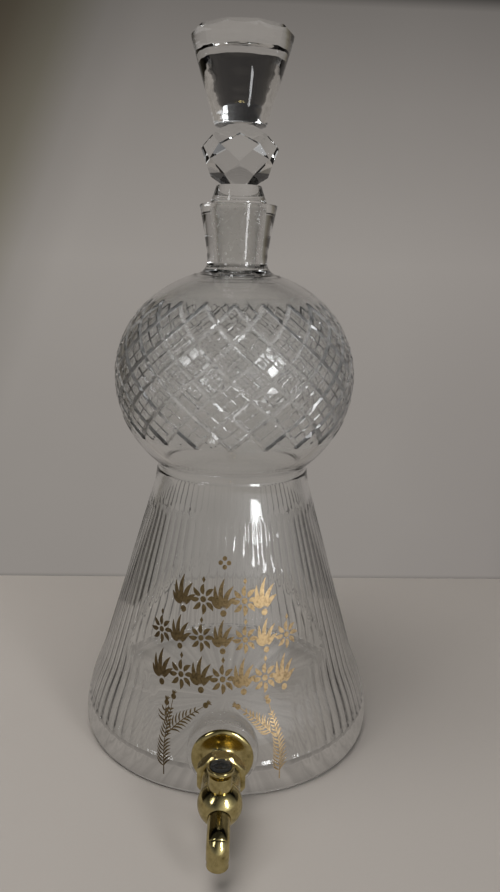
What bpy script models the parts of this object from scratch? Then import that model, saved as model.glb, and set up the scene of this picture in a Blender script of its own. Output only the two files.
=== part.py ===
"""Cut-glass spirit dispenser: a fluted, flared body under a diamond-cut bulb, a solid glass stopper
and a push-button brass tap. Metres, +Z up, the tap points to -Y, the base rests on Z = 0."""

import math

import bmesh
import bpy
from mathutils import Matrix, Vector

# Clearances and cuts
GAP = 0.0003                    # left between pieces that touch on the real object
WELD = 0.00001                  # points nearer than this are one point
OVERRUN = 0.004                 # how far a cutter runs past what it cuts

# Body: the flared skirt
FOOT_RADIUS = 0.1095
HEEL_SWELL = 0.0035             # how far the heel stands out past the foot
HEEL_RADIUS = FOOT_RADIUS + HEEL_SWELL
HEEL_HEIGHT = 0.010
FLARE_DRAW = 0.0129             # how far the flare's top is drawn in from the heel
FLARE_RADIUS = HEEL_RADIUS - FLARE_DRAW
FLARE_LENGTH = 0.046
FLARE_HEIGHT = HEEL_HEIGHT + FLARE_LENGTH
CONE_LENGTH = 0.140
CONE_TOP_HEIGHT = FLARE_HEIGHT + CONE_LENGTH
WAIST_RADIUS = 0.0572
WAIST_SWELL = 0.0017            # how far the cone's top stands out past the waist
CONE_TOP_RADIUS = WAIST_RADIUS + WAIST_SWELL
WAIST_LENGTH = 0.015
WAIST_HEIGHT = CONE_TOP_HEIGHT + WAIST_LENGTH
SKIRT_WALL = 0.0062
FLOOR_THICKNESS = 0.013
FLARE_POWER = 1.75              # how suddenly the flare leaves the heel

# Flutes cut round the skirt, and the plain panel that they stop at
FLUTE_COUNT = 72
FLUTE_DEPTH = 0.0016
FLUTE_TOP_MARGIN = 0.010        # plain glass left above the flutes
FLUTE_FOOT_MARGIN = 0.007       # and below them, down to the heel
FLUTE_TOP_HEIGHT = CONE_TOP_HEIGHT - FLUTE_TOP_MARGIN
FLUTE_FOOT_HEIGHT = HEEL_HEIGHT + FLUTE_FOOT_MARGIN
FLUTE_FADE = 0.012              # length over which a flute runs out
PANEL_TOP_MARGIN = 0.028        # flutes left above the panel
PANEL_TOP_HEIGHT = FLUTE_TOP_HEIGHT - PANEL_TOP_MARGIN
PANEL_FOOT_RISE = 0.038         # the panel's foot above the flutes' foot
PANEL_SIDE = 0.029              # height of the panel's sides, below the arch
PANEL_FOOT_HEIGHT = FLUTE_FOOT_HEIGHT + PANEL_FOOT_RISE
PANEL_SPRING_HEIGHT = PANEL_FOOT_HEIGHT + PANEL_SIDE
PANEL_HALF_ANGLE = math.radians(52)
PANEL_FOOT_ANGLE = math.radians(27)
PANEL_TOP_POWER = 0.7           # how square the panel's top is
PANEL_FOOT_POWER = 0.6

# Bulb, diamond band and neck
BULB_RADIUS = 0.0888
BULB_LIFT = 0.066               # bulb's middle above the waist
BULB_HEIGHT = WAIST_HEIGHT + BULB_LIFT
BULB_RISE = 0.078
WAIST_STEP = 0.00124            # how far the waist stands out past the bulb's foot
BULB_DROP = BULB_LIFT / math.sqrt(1 - ((WAIST_RADIUS - WAIST_STEP) / BULB_RADIUS) ** 2)
BULB_WALL = 0.006
BAND_DROP = 0.0382              # band's foot below the bulb's middle
BAND_RISE = 0.0536              # band's top above it
BAND_FOOT_HEIGHT = BULB_HEIGHT - BAND_DROP
BAND_TOP_HEIGHT = BULB_HEIGHT + BAND_RISE
DIAMOND_COUNT = 21
DIAMOND_ROWS = 4
DIAMOND_DEPTH = 0.0018
SPIGOT_DEPTH = 0.006            # how far the bulb's foot is sunk in the skirt
NECK_RADIUS = 0.0231
NECK_FILLET = 0.006
NECK_LENGTH = 0.014             # straight part, above the bulb's own top
NECK_STRAIGHT_HEIGHT = BULB_HEIGHT + BULB_RISE + NECK_LENGTH
MOUTH_LENGTH = 0.029            # widening part, up to the rim
RIM_RADIUS = 0.0277
RIM_HEIGHT = NECK_STRAIGHT_HEIGHT + MOUTH_LENGTH
RIM_EDGE = 0.0012

# Stopper
PLUG_TOP_RADIUS = 0.0130
PLUG_FOOT_RADIUS = 0.0108
PLUG_LENGTH = 0.0395
LEDGE_RADIUS = 0.0199
LEDGE_THICKNESS = 0.0014
LEDGE_FILLET = 0.0030
COLLAR_RADIUS = 0.0163
KNOP_RADIUS = 0.0252
COLLAR_LENGTH = 0.0125          # rim to the knop's foot
KNOP_FOOT_HEIGHT = RIM_HEIGHT + COLLAR_LENGTH
KNOP_HEIGHT = 0.0400
FINIAL_FOOT_RADIUS = 0.0180
FINIAL_TOP_RADIUS = 0.0354
FINIAL_LENGTH = 0.0590          # knop's top to the finial's
FINIAL_TOP_HEIGHT = KNOP_FOOT_HEIGHT + KNOP_HEIGHT + FINIAL_LENGTH
FINIAL_EDGE = 0.0022
KNOP_SIDES = 6
# Each row of facets: elevation in degrees, distance as a share of the radius, steps turned on.
KNOP_ROW_SHARES = ((13, 0.96, 0), (-20, 0.94, 0.5), (50, 0.86, 0.5), (-54, 0.85, 0))
SCALLOP_COUNT = 10
SCALLOP_DEPTH = 0.0028

# Tap: glass boss and what clamps the tap in it
TAP_HEIGHT = 0.034
BOSS_RADIUS = 0.0245
BOSS_STAND = 0.0005             # how far the boss's face stands out past the heel
BOSS_FACE = HEEL_RADIUS + BOSS_STAND
BOSS_THICKNESS = 0.023          # before the inside is hollowed out of its back
BOSS_EDGE = 0.0015
HOLE_RADIUS = 0.0085
SHANK_RADIUS = 0.0052
SHANK_BORE = 0.0030
BUSH_LENGTH = 0.0098            # through the boss to the inside, on the tap's axis
SHANK_INSET = 0.0010            # shank's end, short of the bush's back
WASHER_RADIUS = 0.0195
WASHER_THICKNESS = 0.0012
FLANGE_RADIUS = 0.0211
FLANGE_EDGE = 0.0012
FLANGE_NECK_RADIUS = 0.0068
FLANGE_LENGTH = 0.0142
COLLAR_FLATS = 0.0312
COLLAR_THICKNESS = 0.0092
COLLAR_EDGE = 0.0018

# Tap: body, valve and button
BALL_RADIUS = 0.01405
BARREL_RADIUS = 0.0126
BARREL_FLANGE_RADIUS = 0.0133
BARREL_LENGTH = 0.0146
BARREL_TAPER_SHARE = 0.4        # of its length, from the collar
SHANK_SOCKET_WALL = 0.0024      # metal left between the shank and the chamber
CHAMBER_RADIUS = 0.0062
CHAMBER_DEPTH = 0.0105          # below the ball's centre
BONNET_SEAT = 0.0115            # flat on the ball's top, above its centre
INLET_RADIUS = 0.0022
OUTLET_RADIUS = 0.0020
OUTLET_DROP = 0.0078            # outlet's start below the ball's centre
PLUG_SEAT = 0.0125              # flat under the ball
BODY_PLUG_RADIUS = 0.0052
BODY_PLUG_HEAD_RADIUS = 0.0062
BODY_PLUG_HEAD = 0.0018
SLOT_WIDTH = 0.0012
SLOT_DEPTH = 0.0008
BONNET_RADIUS = 0.0073
BONNET_HEIGHT = 0.0090
BONNET_SPIGOT_RADIUS = 0.0059
BONNET_SPIGOT_DEPTH = 0.0045
BONNET_FLOOR = 0.0018
BONNET_EDGE = 0.0004
STEM_RADIUS = 0.0020
PLUNGER_RADIUS = 0.0048
PLUNGER_FOOT = 0.0160           # plunger's foot above the ball's centre
DISC_NUT_FLATS = 0.0068
DISC_NUT_THICKNESS = 0.0009
DISC_NUT_EDGE = 0.0002
BUTTON_RADIUS = 0.0085
BUTTON_THICKNESS = 0.0026
BUTTON_EDGE = 0.0006
BUTTON_RIM = 0.0016             # rim round the inlay's recess
BUTTON_CROWN = 0.0006           # how far the inlay stands out
INLAY_THICKNESS = 0.0016
BUTTON_TRAVEL = 0.0025
SEAL_THICKNESS = 0.0018
SEAT_DROP = 0.0026              # seat's top below the ball's centre
SEAT_THICKNESS = 0.0014
SEAT_BORE = 0.0034
DISC_RADIUS = 0.0048
DISC_THICKNESS = 0.0015
SPRING_RADIUS = 0.0037
SPRING_WIRE = 0.00035
SPRING_TURNS = 4

# Tap: spout
PIPE_RADIUS = 0.00715
PIPE_BORE = 0.0042
PIPE_START = 0.0105             # from the ball's centre
PIPE_REACH = 0.0299             # from the ball's centre to the nozzle's axis, forward
PIPE_DROOP = math.radians(8)
ELBOW_RADIUS = 0.0080
PIPE_TAIL = 0.002               # straight length below the elbow
NOZZLE_RADIUS = 0.0064
NOZZLE_DROP = 0.018             # nozzle's foot below the tap's axis
NOZZLE_FOOT_HEIGHT = TAP_HEIGHT - NOZZLE_DROP
NOZZLE_LIP = 0.0010
NOZZLE_LIP_RADIUS = 0.0067

# Where the rings of the turned profiles lie, as shares of the span named
FLUTE_RING_SHARES = (1, 0.93, 0.76, 0.56, 0.40, 0.27, 0.16, 0.07, 0)    # flutes' foot to their top
HEEL_RING_SHARES = (1, 0.3, 0)                          # heel's height
CROWN_RING_SHARES = (0.2, 0.42, 0.7)                    # neck's foot to the band's top
BULB_FOOT_RING_SHARES = (0.3, 0.65, 1)                  # band's foot to the waist
FILLET_RING_SHARES = (0.35, 0.8)                        # neck's fillet
HOLLOW_RISE_SHARES = (0.93, 0.8, 0.6, 0.3, 0)           # bulb's middle to the throat
HOLLOW_DROP_SHARES = (0.3, 0.55, 0.72)                  # bulb's middle to the waist
HOLLOW_FLARE_SHARES = (0.75, 0.5, 0.3)                  # heel to the top of the flare
FLOOR_FILLET_SHARES = (0.15, 0.6)                       # of the floor's thickness, inward
FLOOR_CORNER_SHARE = 1.35                               # height of the floor's upper corner
FLANGE_RING_SHARES = (0.12, 0.3, 0.5, 0.68, 0.84, 0.95)     # of the trumpet's quarter turn
BALL_RINGS = 8

# How finely round things are stepped
BULB_STEPS = 2 * DIAMOND_COUNT
SKIRT_STEPS = 2 * FLUTE_COUNT
HOLLOW_STEPS = 30
STOPPER_STEPS = 4 * SCALLOP_COUNT
TAP_STEPS = 24
SMALL_STEPS = 16
SPRING_TURN_STEPS = 8
ELBOW_STEPS = 5
PIPE_ROUNDNESS = 5
WIRE_ROUNDNESS = 1

TAP_FACE = Vector((0, -BOSS_FACE, TAP_HEIGHT))
FORWARD = Matrix.Rotation(math.radians(90), 4, "X")     # turns local +Z to world -Y


def lerp(a, b, share):
    return a + (b - a) * share


def start_scene():
    """Empty the scene and make the collection that holds the parts."""
    for thing in list(bpy.data.objects):
        bpy.data.objects.remove(thing, do_unlink=True)
    parts = bpy.data.collections.new("glass_dispenser")
    bpy.context.scene.collection.children.link(parts)
    return parts


def material(name, colour, roughness, metallic=0.0, transmission=0.0, ior=1.5):
    made = bpy.data.materials.new(name)
    made.use_nodes = True
    shader = made.node_tree.nodes["Principled BSDF"]
    shader.inputs["Base Color"].default_value = (*colour, 1)
    shader.inputs["Roughness"].default_value = roughness
    shader.inputs["Metallic"].default_value = metallic
    shader.inputs["Transmission Weight"].default_value = transmission
    shader.inputs["IOR"].default_value = ior
    made.diffuse_color = (*colour, 1)
    return made


def add_object(name, mesh, collection):
    thing = bpy.data.objects.new(name, mesh)
    collection.objects.link(thing)
    return thing


def evaluated_mesh(thing):
    bpy.context.view_layer.update()
    graph = bpy.context.evaluated_depsgraph_get()
    return bpy.data.meshes.new_from_object(thing.evaluated_get(graph))


def settle(thing):
    """Turn an object's modifiers into plain mesh."""
    mesh = evaluated_mesh(thing)
    thing.modifiers.clear()
    thing.data = mesh
    return thing


def turned(name, profile, steps, collection, closed=False, place=None):
    """Turn a profile of (radius, height) points round Z. An open one runs down the outer side from
    the axis to the axis; a closed one is a ring's section, taken the same way round."""
    mesh = bpy.data.meshes.new(name)
    points = [(radius, 0, height) for radius, height in profile]
    edges = [(i, i + 1) for i in range(len(points) - 1)]
    if closed:
        edges.append((len(points) - 1, 0))
    mesh.from_pydata(points, edges, [])
    thing = add_object(name, mesh, collection)
    screw = thing.modifiers.new("Turn", "SCREW")
    screw.steps = steps
    screw.render_steps = steps
    screw.use_merge_vertices = True
    screw.merge_threshold = WELD
    settle(thing)
    if place is not None:
        thing.data.transform(place)
    return thing


def ring(name, inner, outer, low, high, steps, collection, place=None):
    """A plain washer or tube between two heights."""
    profile = [(inner, high), (outer, high), (outer, low), (inner, low)]
    return turned(name, profile, steps, collection, closed=True, place=place)


def combine(thing, other, operation):
    """Join or cut with the exact solver. The other object is used up."""
    tool = thing.modifiers.new(operation.title(), "BOOLEAN")
    tool.operation = operation
    tool.solver = "EXACT"
    tool.object = other
    settle(thing)
    bpy.data.objects.remove(other, do_unlink=True)
    return thing


def finish(thing, look, origin=None, crease=math.radians(28)):
    """Give a piece its material and shading, and its own origin where it moves."""
    thing.data.materials.clear()
    thing.data.materials.append(look)
    if origin is not None:
        thing.data.transform(Matrix.Translation(-origin))
        thing.location = origin
    thing.data.shade_smooth()
    thing.data.set_sharp_from_angle(angle=crease)
    return thing


def prism(name, sides, flats, low, high, edge, collection):
    """A nut's blank: a regular prism with flats at its sides and its corners turned off."""
    corner = flats / 2 / math.cos(math.pi / sides)
    work = bmesh.new()
    bmesh.ops.create_cone(work, cap_ends=True, segments=sides, radius1=corner, radius2=corner,
                          depth=high - low)
    turn = Matrix.Rotation(math.pi / sides + math.pi / 2, 4, "Z")
    bmesh.ops.transform(work, matrix=Matrix.Translation((0, 0, (low + high) / 2)) @ turn,
                        verts=work.verts)
    mesh = bpy.data.meshes.new(name)
    work.to_mesh(mesh)
    work.free()
    thing = add_object(name, mesh, collection)
    face = corner - edge
    profile = [(0, high), (face, high), (corner + edge, high - 2 * edge),
               (corner + edge, low + 2 * edge), (face, low), (0, low)]
    return combine(thing, turned(name + "_turning", profile, TAP_STEPS, collection), "INTERSECT")


def slice_off(work, point, normal):
    """Cut a closed mesh flat, keeping what lies behind the plane."""
    whole = work.verts[:] + work.edges[:] + work.faces[:]
    cut = bmesh.ops.bisect_plane(work, geom=whole, plane_co=point, plane_no=normal,
                                 dist=WELD, clear_outer=True)
    edges = [item for item in cut["geom_cut"] if isinstance(item, bmesh.types.BMEdge)]
    if edges:
        bmesh.ops.edgeloop_fill(work, edges=edges)


# Glass vessel

def skirt_radius(height):
    """Outer radius of the uncut skirt."""
    if height <= HEEL_HEIGHT:
        drop = (HEEL_HEIGHT - height) / HEEL_HEIGHT
        return lerp(FOOT_RADIUS, HEEL_RADIUS, math.sqrt(max(0, 1 - drop * drop)))
    if height <= FLARE_HEIGHT:
        rise = (height - HEEL_HEIGHT) / (FLARE_HEIGHT - HEEL_HEIGHT)
        return lerp(HEEL_RADIUS, FLARE_RADIUS, rise ** FLARE_POWER)
    if height <= CONE_TOP_HEIGHT:
        return lerp(FLARE_RADIUS, CONE_TOP_RADIUS,
                    (height - FLARE_HEIGHT) / (CONE_TOP_HEIGHT - FLARE_HEIGHT))
    rise = (height - CONE_TOP_HEIGHT) / (WAIST_HEIGHT - CONE_TOP_HEIGHT)
    return lerp(CONE_TOP_RADIUS, WAIST_RADIUS, rise * (2 - rise))


def bulb_radius(height, inset=0.0):
    """Outer radius of the uncut bulb, or of its inside when inset by the wall."""
    reach = (BULB_RISE if height > BULB_HEIGHT else BULB_DROP) - inset
    away = min(1, abs(height - BULB_HEIGHT) / reach)
    return (BULB_RADIUS - inset) * math.sqrt(1 - away * away)


def bulb_height(radius, side, inset=0.0):
    """Height at which the bulb has this radius, above its middle (side 1) or below (side -1)."""
    reach = (BULB_RISE if side > 0 else BULB_DROP) - inset
    across = min(1, radius / (BULB_RADIUS - inset))
    return BULB_HEIGHT + side * reach * math.sqrt(1 - across * across)


def panel_top(angle):
    """Height down to which the flutes over the plain panel run."""
    across = min(1, abs(angle) / PANEL_HALF_ANGLE)
    arch = (1 - across * across) ** PANEL_TOP_POWER
    return lerp(PANEL_SPRING_HEIGHT, PANEL_TOP_HEIGHT, arch)


def panel_foot(angle):
    """Height up to which the flutes beside the tap run, or None where there are none."""
    across = (abs(angle) - PANEL_FOOT_ANGLE) / (PANEL_HALF_ANGLE - PANEL_FOOT_ANGLE)
    if across <= 0:
        return None
    return lerp(PANEL_FOOT_HEIGHT, PANEL_SPRING_HEIGHT, min(1, across) ** PANEL_FOOT_POWER)


def flute_share(angle, height):
    """How deep a flute is at a place, from 0 on the plain panel to 1 at full depth."""
    ends = min(FLUTE_TOP_HEIGHT - height, height - FLUTE_FOOT_HEIGHT)
    inside = max(0, min(1, ends / FLUTE_FADE))
    if abs(angle) >= PANEL_HALF_ANGLE:
        return inside
    above = (height - panel_top(angle)) / FLUTE_FADE
    foot = panel_foot(angle)
    below = 0 if foot is None else (foot - height) / FLUTE_FADE
    return inside * max(0, min(1, max(above, below)))


def tap_angle(point):
    """Angle round the axis from the tap's side."""
    return math.atan2(point.x, -point.y)


def make_skirt(collection):
    """The solid skirt, turned and then fluted."""
    heights = [WAIST_HEIGHT, CONE_TOP_HEIGHT]
    heights += [lerp(FLUTE_FOOT_HEIGHT, FLUTE_TOP_HEIGHT, share) for share in FLUTE_RING_SHARES]
    heights += [HEEL_HEIGHT * share for share in HEEL_RING_SHARES]
    profile = [(0, WAIST_HEIGHT)] + [(skirt_radius(h), h) for h in heights] + [(0, 0)]
    skirt = turned("glass_vessel", profile, SKIRT_STEPS, collection)
    step = 2 * math.pi / SKIRT_STEPS
    for vert in skirt.data.vertices:
        angle = tap_angle(vert.co)
        if round(angle / step) % 2 == 0 or vert.co.xy.length < FOOT_RADIUS / 4:
            continue
        # A flute gets narrower and shallower as the skirt does.
        slim = vert.co.xy.length / HEEL_RADIUS
        depth = FLUTE_DEPTH * flute_share(angle, vert.co.z) * slim
        vert.co.xy *= 1 - depth / vert.co.xy.length
    return skirt


def make_bulb(collection):
    """The solid bulb and neck, turned, with its diamonds cut between crossing grooves."""
    half_row = (BAND_TOP_HEIGHT - BAND_FOOT_HEIGHT) / (2 * DIAMOND_ROWS)
    neck_foot = bulb_height(NECK_RADIUS + NECK_FILLET, 1)
    lip = RIM_RADIUS - RIM_EDGE
    profile = [(0, RIM_HEIGHT), (lip, RIM_HEIGHT), (RIM_RADIUS, RIM_HEIGHT - RIM_EDGE)]
    profile += [(NECK_RADIUS, NECK_STRAIGHT_HEIGHT), (NECK_RADIUS, neck_foot + NECK_FILLET)]
    for share in FILLET_RING_SHARES:
        turn = share * math.pi / 2
        profile.append((NECK_RADIUS + NECK_FILLET * (1 - math.cos(turn)),
                        neck_foot + NECK_FILLET * (1 - math.sin(turn))))
    crown = [lerp(neck_foot, BAND_TOP_HEIGHT, share) for share in CROWN_RING_SHARES]
    band = [BAND_TOP_HEIGHT - half_row * row for row in range(2 * DIAMOND_ROWS + 1)]
    below = [lerp(BAND_FOOT_HEIGHT, WAIST_HEIGHT, share) for share in BULB_FOOT_RING_SHARES]
    profile += [(bulb_radius(h), h) for h in crown + band + below]
    spigot = min(bulb_radius(WAIST_HEIGHT), WAIST_RADIUS) - GAP
    profile += [(spigot, WAIST_HEIGHT - GAP), (spigot, WAIST_HEIGHT - SPIGOT_DEPTH),
                (0, WAIST_HEIGHT - SPIGOT_DEPTH)]
    bulb = turned("bulb", profile, BULB_STEPS, collection)

    def groove(vert):
        """True where two grooves cross."""
        rows_down = (BAND_TOP_HEIGHT - vert.co.z) / half_row
        row = round(rows_down)
        if not 0 <= row <= 2 * DIAMOND_ROWS or not math.isclose(row, rows_down, abs_tol=0.01):
            return False
        column = round(tap_angle(vert.co) / (math.pi / DIAMOND_COUNT))
        return (row + column) % 2 == 0

    work = bmesh.new()
    work.from_mesh(bulb.data)
    crossings = {vert for vert in work.verts if groove(vert)}
    for face in list(work.faces):
        ends = [vert for vert in face.verts if vert in crossings]
        if len(face.verts) == 4 and len(ends) == 2 and not work.edges.get(ends):
            bmesh.utils.face_split(face, ends[0], ends[1])
    for vert in crossings:
        vert.co.xy *= 1 - DIAMOND_DEPTH / vert.co.xy.length
    work.to_mesh(bulb.data)
    work.free()
    return bulb


def plug_radius(height):
    """Radius of the stopper's ground plug."""
    return lerp(PLUG_TOP_RADIUS, PLUG_FOOT_RADIUS, (RIM_HEIGHT - height) / PLUG_LENGTH)


def make_hollow(collection):
    """The space for the liquid: skirt, bulb and the tapered bore for the stopper."""
    top = RIM_HEIGHT + OVERRUN
    throat_height = RIM_HEIGHT - PLUG_LENGTH
    throat = plug_radius(throat_height) + GAP
    shoulder = bulb_height(throat, 1, BULB_WALL)
    profile = [(0, top), (plug_radius(top) + GAP, top), (throat, throat_height),
               (throat, shoulder)]
    heights = [lerp(BULB_HEIGHT, shoulder, share) for share in HOLLOW_RISE_SHARES]
    heights += [lerp(BULB_HEIGHT, WAIST_HEIGHT, share) for share in HOLLOW_DROP_SHARES]
    profile += [(bulb_radius(h, BULB_WALL), h) for h in heights]
    heights = [WAIST_HEIGHT, CONE_TOP_HEIGHT, FLARE_HEIGHT]
    heights += [lerp(HEEL_HEIGHT, FLARE_HEIGHT, share) for share in HOLLOW_FLARE_SHARES]
    profile += [(skirt_radius(h) - SKIRT_WALL, h) for h in heights]
    inside = HEEL_RADIUS - SKIRT_WALL
    upper, lower = [inside - FLOOR_THICKNESS * share for share in FLOOR_FILLET_SHARES]
    profile += [(upper, FLOOR_THICKNESS * FLOOR_CORNER_SHARE), (lower, FLOOR_THICKNESS),
                (0, FLOOR_THICKNESS)]
    return turned("hollow", profile, HOLLOW_STEPS, collection)


def make_vessel(parts, look):
    vessel = make_skirt(parts)
    combine(vessel, make_bulb(parts), "UNION")
    profile = [(0, 0), (BOSS_RADIUS - BOSS_EDGE, 0), (BOSS_RADIUS, -BOSS_EDGE),
               (BOSS_RADIUS, -BOSS_THICKNESS), (0, -BOSS_THICKNESS)]
    boss = turned("boss", profile, TAP_STEPS, parts, place=on_tap())
    combine(vessel, boss, "UNION")
    combine(vessel, make_hollow(parts), "DIFFERENCE")
    profile = [(0, OVERRUN), (HOLE_RADIUS, OVERRUN), (HOLE_RADIUS, -BOSS_THICKNESS - OVERRUN),
               (0, -BOSS_THICKNESS - OVERRUN)]
    hole = turned("hole", profile, TAP_STEPS, parts, place=on_tap())
    combine(vessel, hole, "DIFFERENCE")
    return finish(vessel, look, crease=math.radians(15))


# Stopper

def make_knop(collection):
    """The ball under the finial, cut into flat facets in four rows."""
    middle = Vector((0, 0, KNOP_FOOT_HEIGHT + KNOP_HEIGHT / 2))
    work = bmesh.new()
    bmesh.ops.create_cube(work, size=4 * KNOP_RADIUS)
    bmesh.ops.translate(work, vec=middle, verts=work.verts)
    for elevation, distance_share, shifted in KNOP_ROW_SHARES:
        for side in range(KNOP_SIDES):
            around = 2 * math.pi * (side + shifted) / KNOP_SIDES
            tilt = math.radians(elevation)
            normal = Vector((math.sin(around) * math.cos(tilt), -math.cos(around) * math.cos(tilt),
                             math.sin(tilt)))
            slice_off(work, middle + normal * KNOP_RADIUS * distance_share, normal)
    for up in (1, -1):
        slice_off(work, middle + Vector((0, 0, up * KNOP_HEIGHT / 2)), Vector((0, 0, up)))
    bmesh.ops.recalc_face_normals(work, faces=work.faces)
    mesh = bpy.data.meshes.new("knop")
    work.to_mesh(mesh)
    work.free()
    return add_object("knop", mesh, collection)


def make_finial(collection):
    """The spreading top of the stopper, its upper edge cut in shallow scallops."""
    foot = KNOP_FOOT_HEIGHT + KNOP_HEIGHT - GAP
    top = FINIAL_TOP_HEIGHT
    profile = [(0, top), (FINIAL_TOP_RADIUS - FINIAL_EDGE, top),
               (FINIAL_TOP_RADIUS, top - FINIAL_EDGE),
               (FINIAL_TOP_RADIUS - FINIAL_EDGE / 2, top - 3 * FINIAL_EDGE),
               (FINIAL_FOOT_RADIUS, foot), (0, foot)]
    finial = turned("finial", profile, STOPPER_STEPS, collection)
    work = bmesh.new()
    work.from_mesh(finial.data)
    for cut in range(SCALLOP_COUNT):
        around = 2 * math.pi * cut / SCALLOP_COUNT
        normal = Vector((math.sin(around), -math.cos(around), 1)).normalized()
        edge = Vector((math.sin(around), -math.cos(around), 0)) * FINIAL_TOP_RADIUS
        edge.z = top
        slice_off(work, edge - normal * SCALLOP_DEPTH, normal)
    bmesh.ops.recalc_face_normals(work, faces=work.faces)
    work.to_mesh(finial.data)
    work.free()
    return finial


def make_stopper(parts, look):
    foot = RIM_HEIGHT - PLUG_LENGTH
    seat = RIM_HEIGHT + GAP
    collar = seat + LEDGE_THICKNESS
    knop_foot = KNOP_FOOT_HEIGHT + GAP
    profile = [(0, knop_foot), (COLLAR_RADIUS, knop_foot),
               (COLLAR_RADIUS, collar + LEDGE_FILLET),
               (COLLAR_RADIUS + LEDGE_FILLET / 3, collar + LEDGE_FILLET / 3),
               (LEDGE_RADIUS, collar), (LEDGE_RADIUS, seat), (plug_radius(seat), seat),
               (PLUG_FOOT_RADIUS, foot), (0, foot)]
    stopper = turned("stopper", profile, STOPPER_STEPS, parts)
    combine(stopper, make_knop(parts), "UNION")
    combine(stopper, make_finial(parts), "UNION")
    return finish(stopper, look, origin=Vector((0, 0, RIM_HEIGHT)), crease=math.radians(12))


# Tap: what clamps it in the glass

def on_tap():
    """Lays a piece turned round Z along the tap's axis, its zero on the boss's face."""
    return Matrix.Translation(TAP_FACE) @ FORWARD


FLANGE_BACK = GAP + WASHER_THICKNESS + GAP
COLLAR_BACK = FLANGE_BACK + FLANGE_LENGTH + GAP
BARREL_BACK = COLLAR_BACK + COLLAR_THICKNESS + GAP
BALL_DISTANCE = BARREL_BACK + BARREL_LENGTH + math.sqrt(BALL_RADIUS ** 2 - BARREL_RADIUS ** 2)
BALL = TAP_FACE + Vector((0, -BALL_DISTANCE, 0))
SHANK_FRONT = BALL_DISTANCE - CHAMBER_RADIUS - SHANK_SOCKET_WALL
SHANK_HOLE = SHANK_RADIUS + GAP


def make_clamp(parts, brass, fibre, cork):
    """Bush, washer, flange, shank and nut, all on the tap's axis."""
    bush = ring("tap_bush", SHANK_HOLE, HOLE_RADIUS - GAP, -BUSH_LENGTH, -GAP, SMALL_STEPS,
                parts, on_tap())
    finish(bush, cork)
    washer = ring("flange_washer", SHANK_HOLE, WASHER_RADIUS, GAP, GAP + WASHER_THICKNESS,
                  TAP_STEPS, parts, on_tap())
    finish(washer, fibre)
    shank = ring("tap_shank", SHANK_BORE, SHANK_RADIUS, SHANK_INSET - BUSH_LENGTH,
                 SHANK_FRONT, SMALL_STEPS, parts, on_tap())
    finish(shank, brass)

    neck = FLANGE_NECK_RADIUS
    top = FLANGE_BACK + FLANGE_LENGTH
    edge = FLANGE_BACK + FLANGE_EDGE
    profile = [(SHANK_HOLE, top), (neck, top)]
    for share in FLANGE_RING_SHARES:
        turn = share * math.pi / 2
        profile.append((lerp(FLANGE_RADIUS, neck, math.cos(turn)),
                        lerp(top, edge, math.sin(turn))))
    profile += [(FLANGE_RADIUS, edge), (FLANGE_RADIUS, FLANGE_BACK), (SHANK_HOLE, FLANGE_BACK)]
    flange = turned("tap_flange", profile, TAP_STEPS, parts, closed=True, place=on_tap())
    finish(flange, brass)

    collar = prism("collar_nut", 8, COLLAR_FLATS, COLLAR_BACK, COLLAR_BACK + COLLAR_THICKNESS,
                   COLLAR_EDGE, parts)
    drill(collar, SHANK_HOLE, COLLAR_BACK, COLLAR_BACK + COLLAR_THICKNESS, parts)
    collar.data.transform(on_tap())
    finish(collar, brass)


def drill(thing, radius, low, high, collection):
    """Bore a piece along Z, past both its ends."""
    profile = [(0, high + OVERRUN), (radius, high + OVERRUN), (radius, low - OVERRUN),
               (0, low - OVERRUN)]
    combine(thing, turned("drill", profile, SMALL_STEPS, collection), "DIFFERENCE")


# Tap: spout

def spout_direction():
    return Vector((0, -math.cos(PIPE_DROOP), -math.sin(PIPE_DROOP)))


def spout_points(start, drop):
    """Centre line: out of the ball with a little droop, round the elbow and straight down."""
    along = spout_direction()
    turn = math.pi / 2 - PIPE_DROOP
    straight_end = (PIPE_REACH - ELBOW_RADIUS * (1 - math.sin(PIPE_DROOP))) / math.cos(PIPE_DROOP)
    corner = BALL + along * straight_end
    centre = corner + Vector((0, math.sin(PIPE_DROOP), -math.cos(PIPE_DROOP))) * ELBOW_RADIUS
    points = [BALL + along * start]
    for step in range(ELBOW_STEPS + 1):
        angle = turn * (1 - step / ELBOW_STEPS)
        points.append(centre + Vector((0, -math.cos(angle), math.sin(angle))) * ELBOW_RADIUS)
    points.append(points[-1] - Vector((0, 0, drop)))
    return points


def tube(name, points, radius, roundness, collection):
    """A filled bar along a line of points, with 4 + 2 x roundness sides."""
    curve = bpy.data.curves.new(name, "CURVE")
    curve.dimensions = "3D"
    curve.bevel_depth = radius
    curve.bevel_resolution = roundness
    curve.use_fill_caps = True
    line = curve.splines.new("POLY")
    line.points.add(len(points) - 1)
    for held, point in zip(line.points, points):
        held.co = (*point, 1)
    guide = add_object(name + "_line", curve, collection)
    mesh = evaluated_mesh(guide)
    work = bmesh.new()
    work.from_mesh(mesh)
    bmesh.ops.remove_doubles(work, verts=work.verts, dist=WELD)
    work.to_mesh(mesh)
    work.free()
    thing = add_object(name, mesh, collection)
    thing.matrix_world = guide.matrix_world
    bpy.data.objects.remove(guide, do_unlink=True)
    return thing


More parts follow.
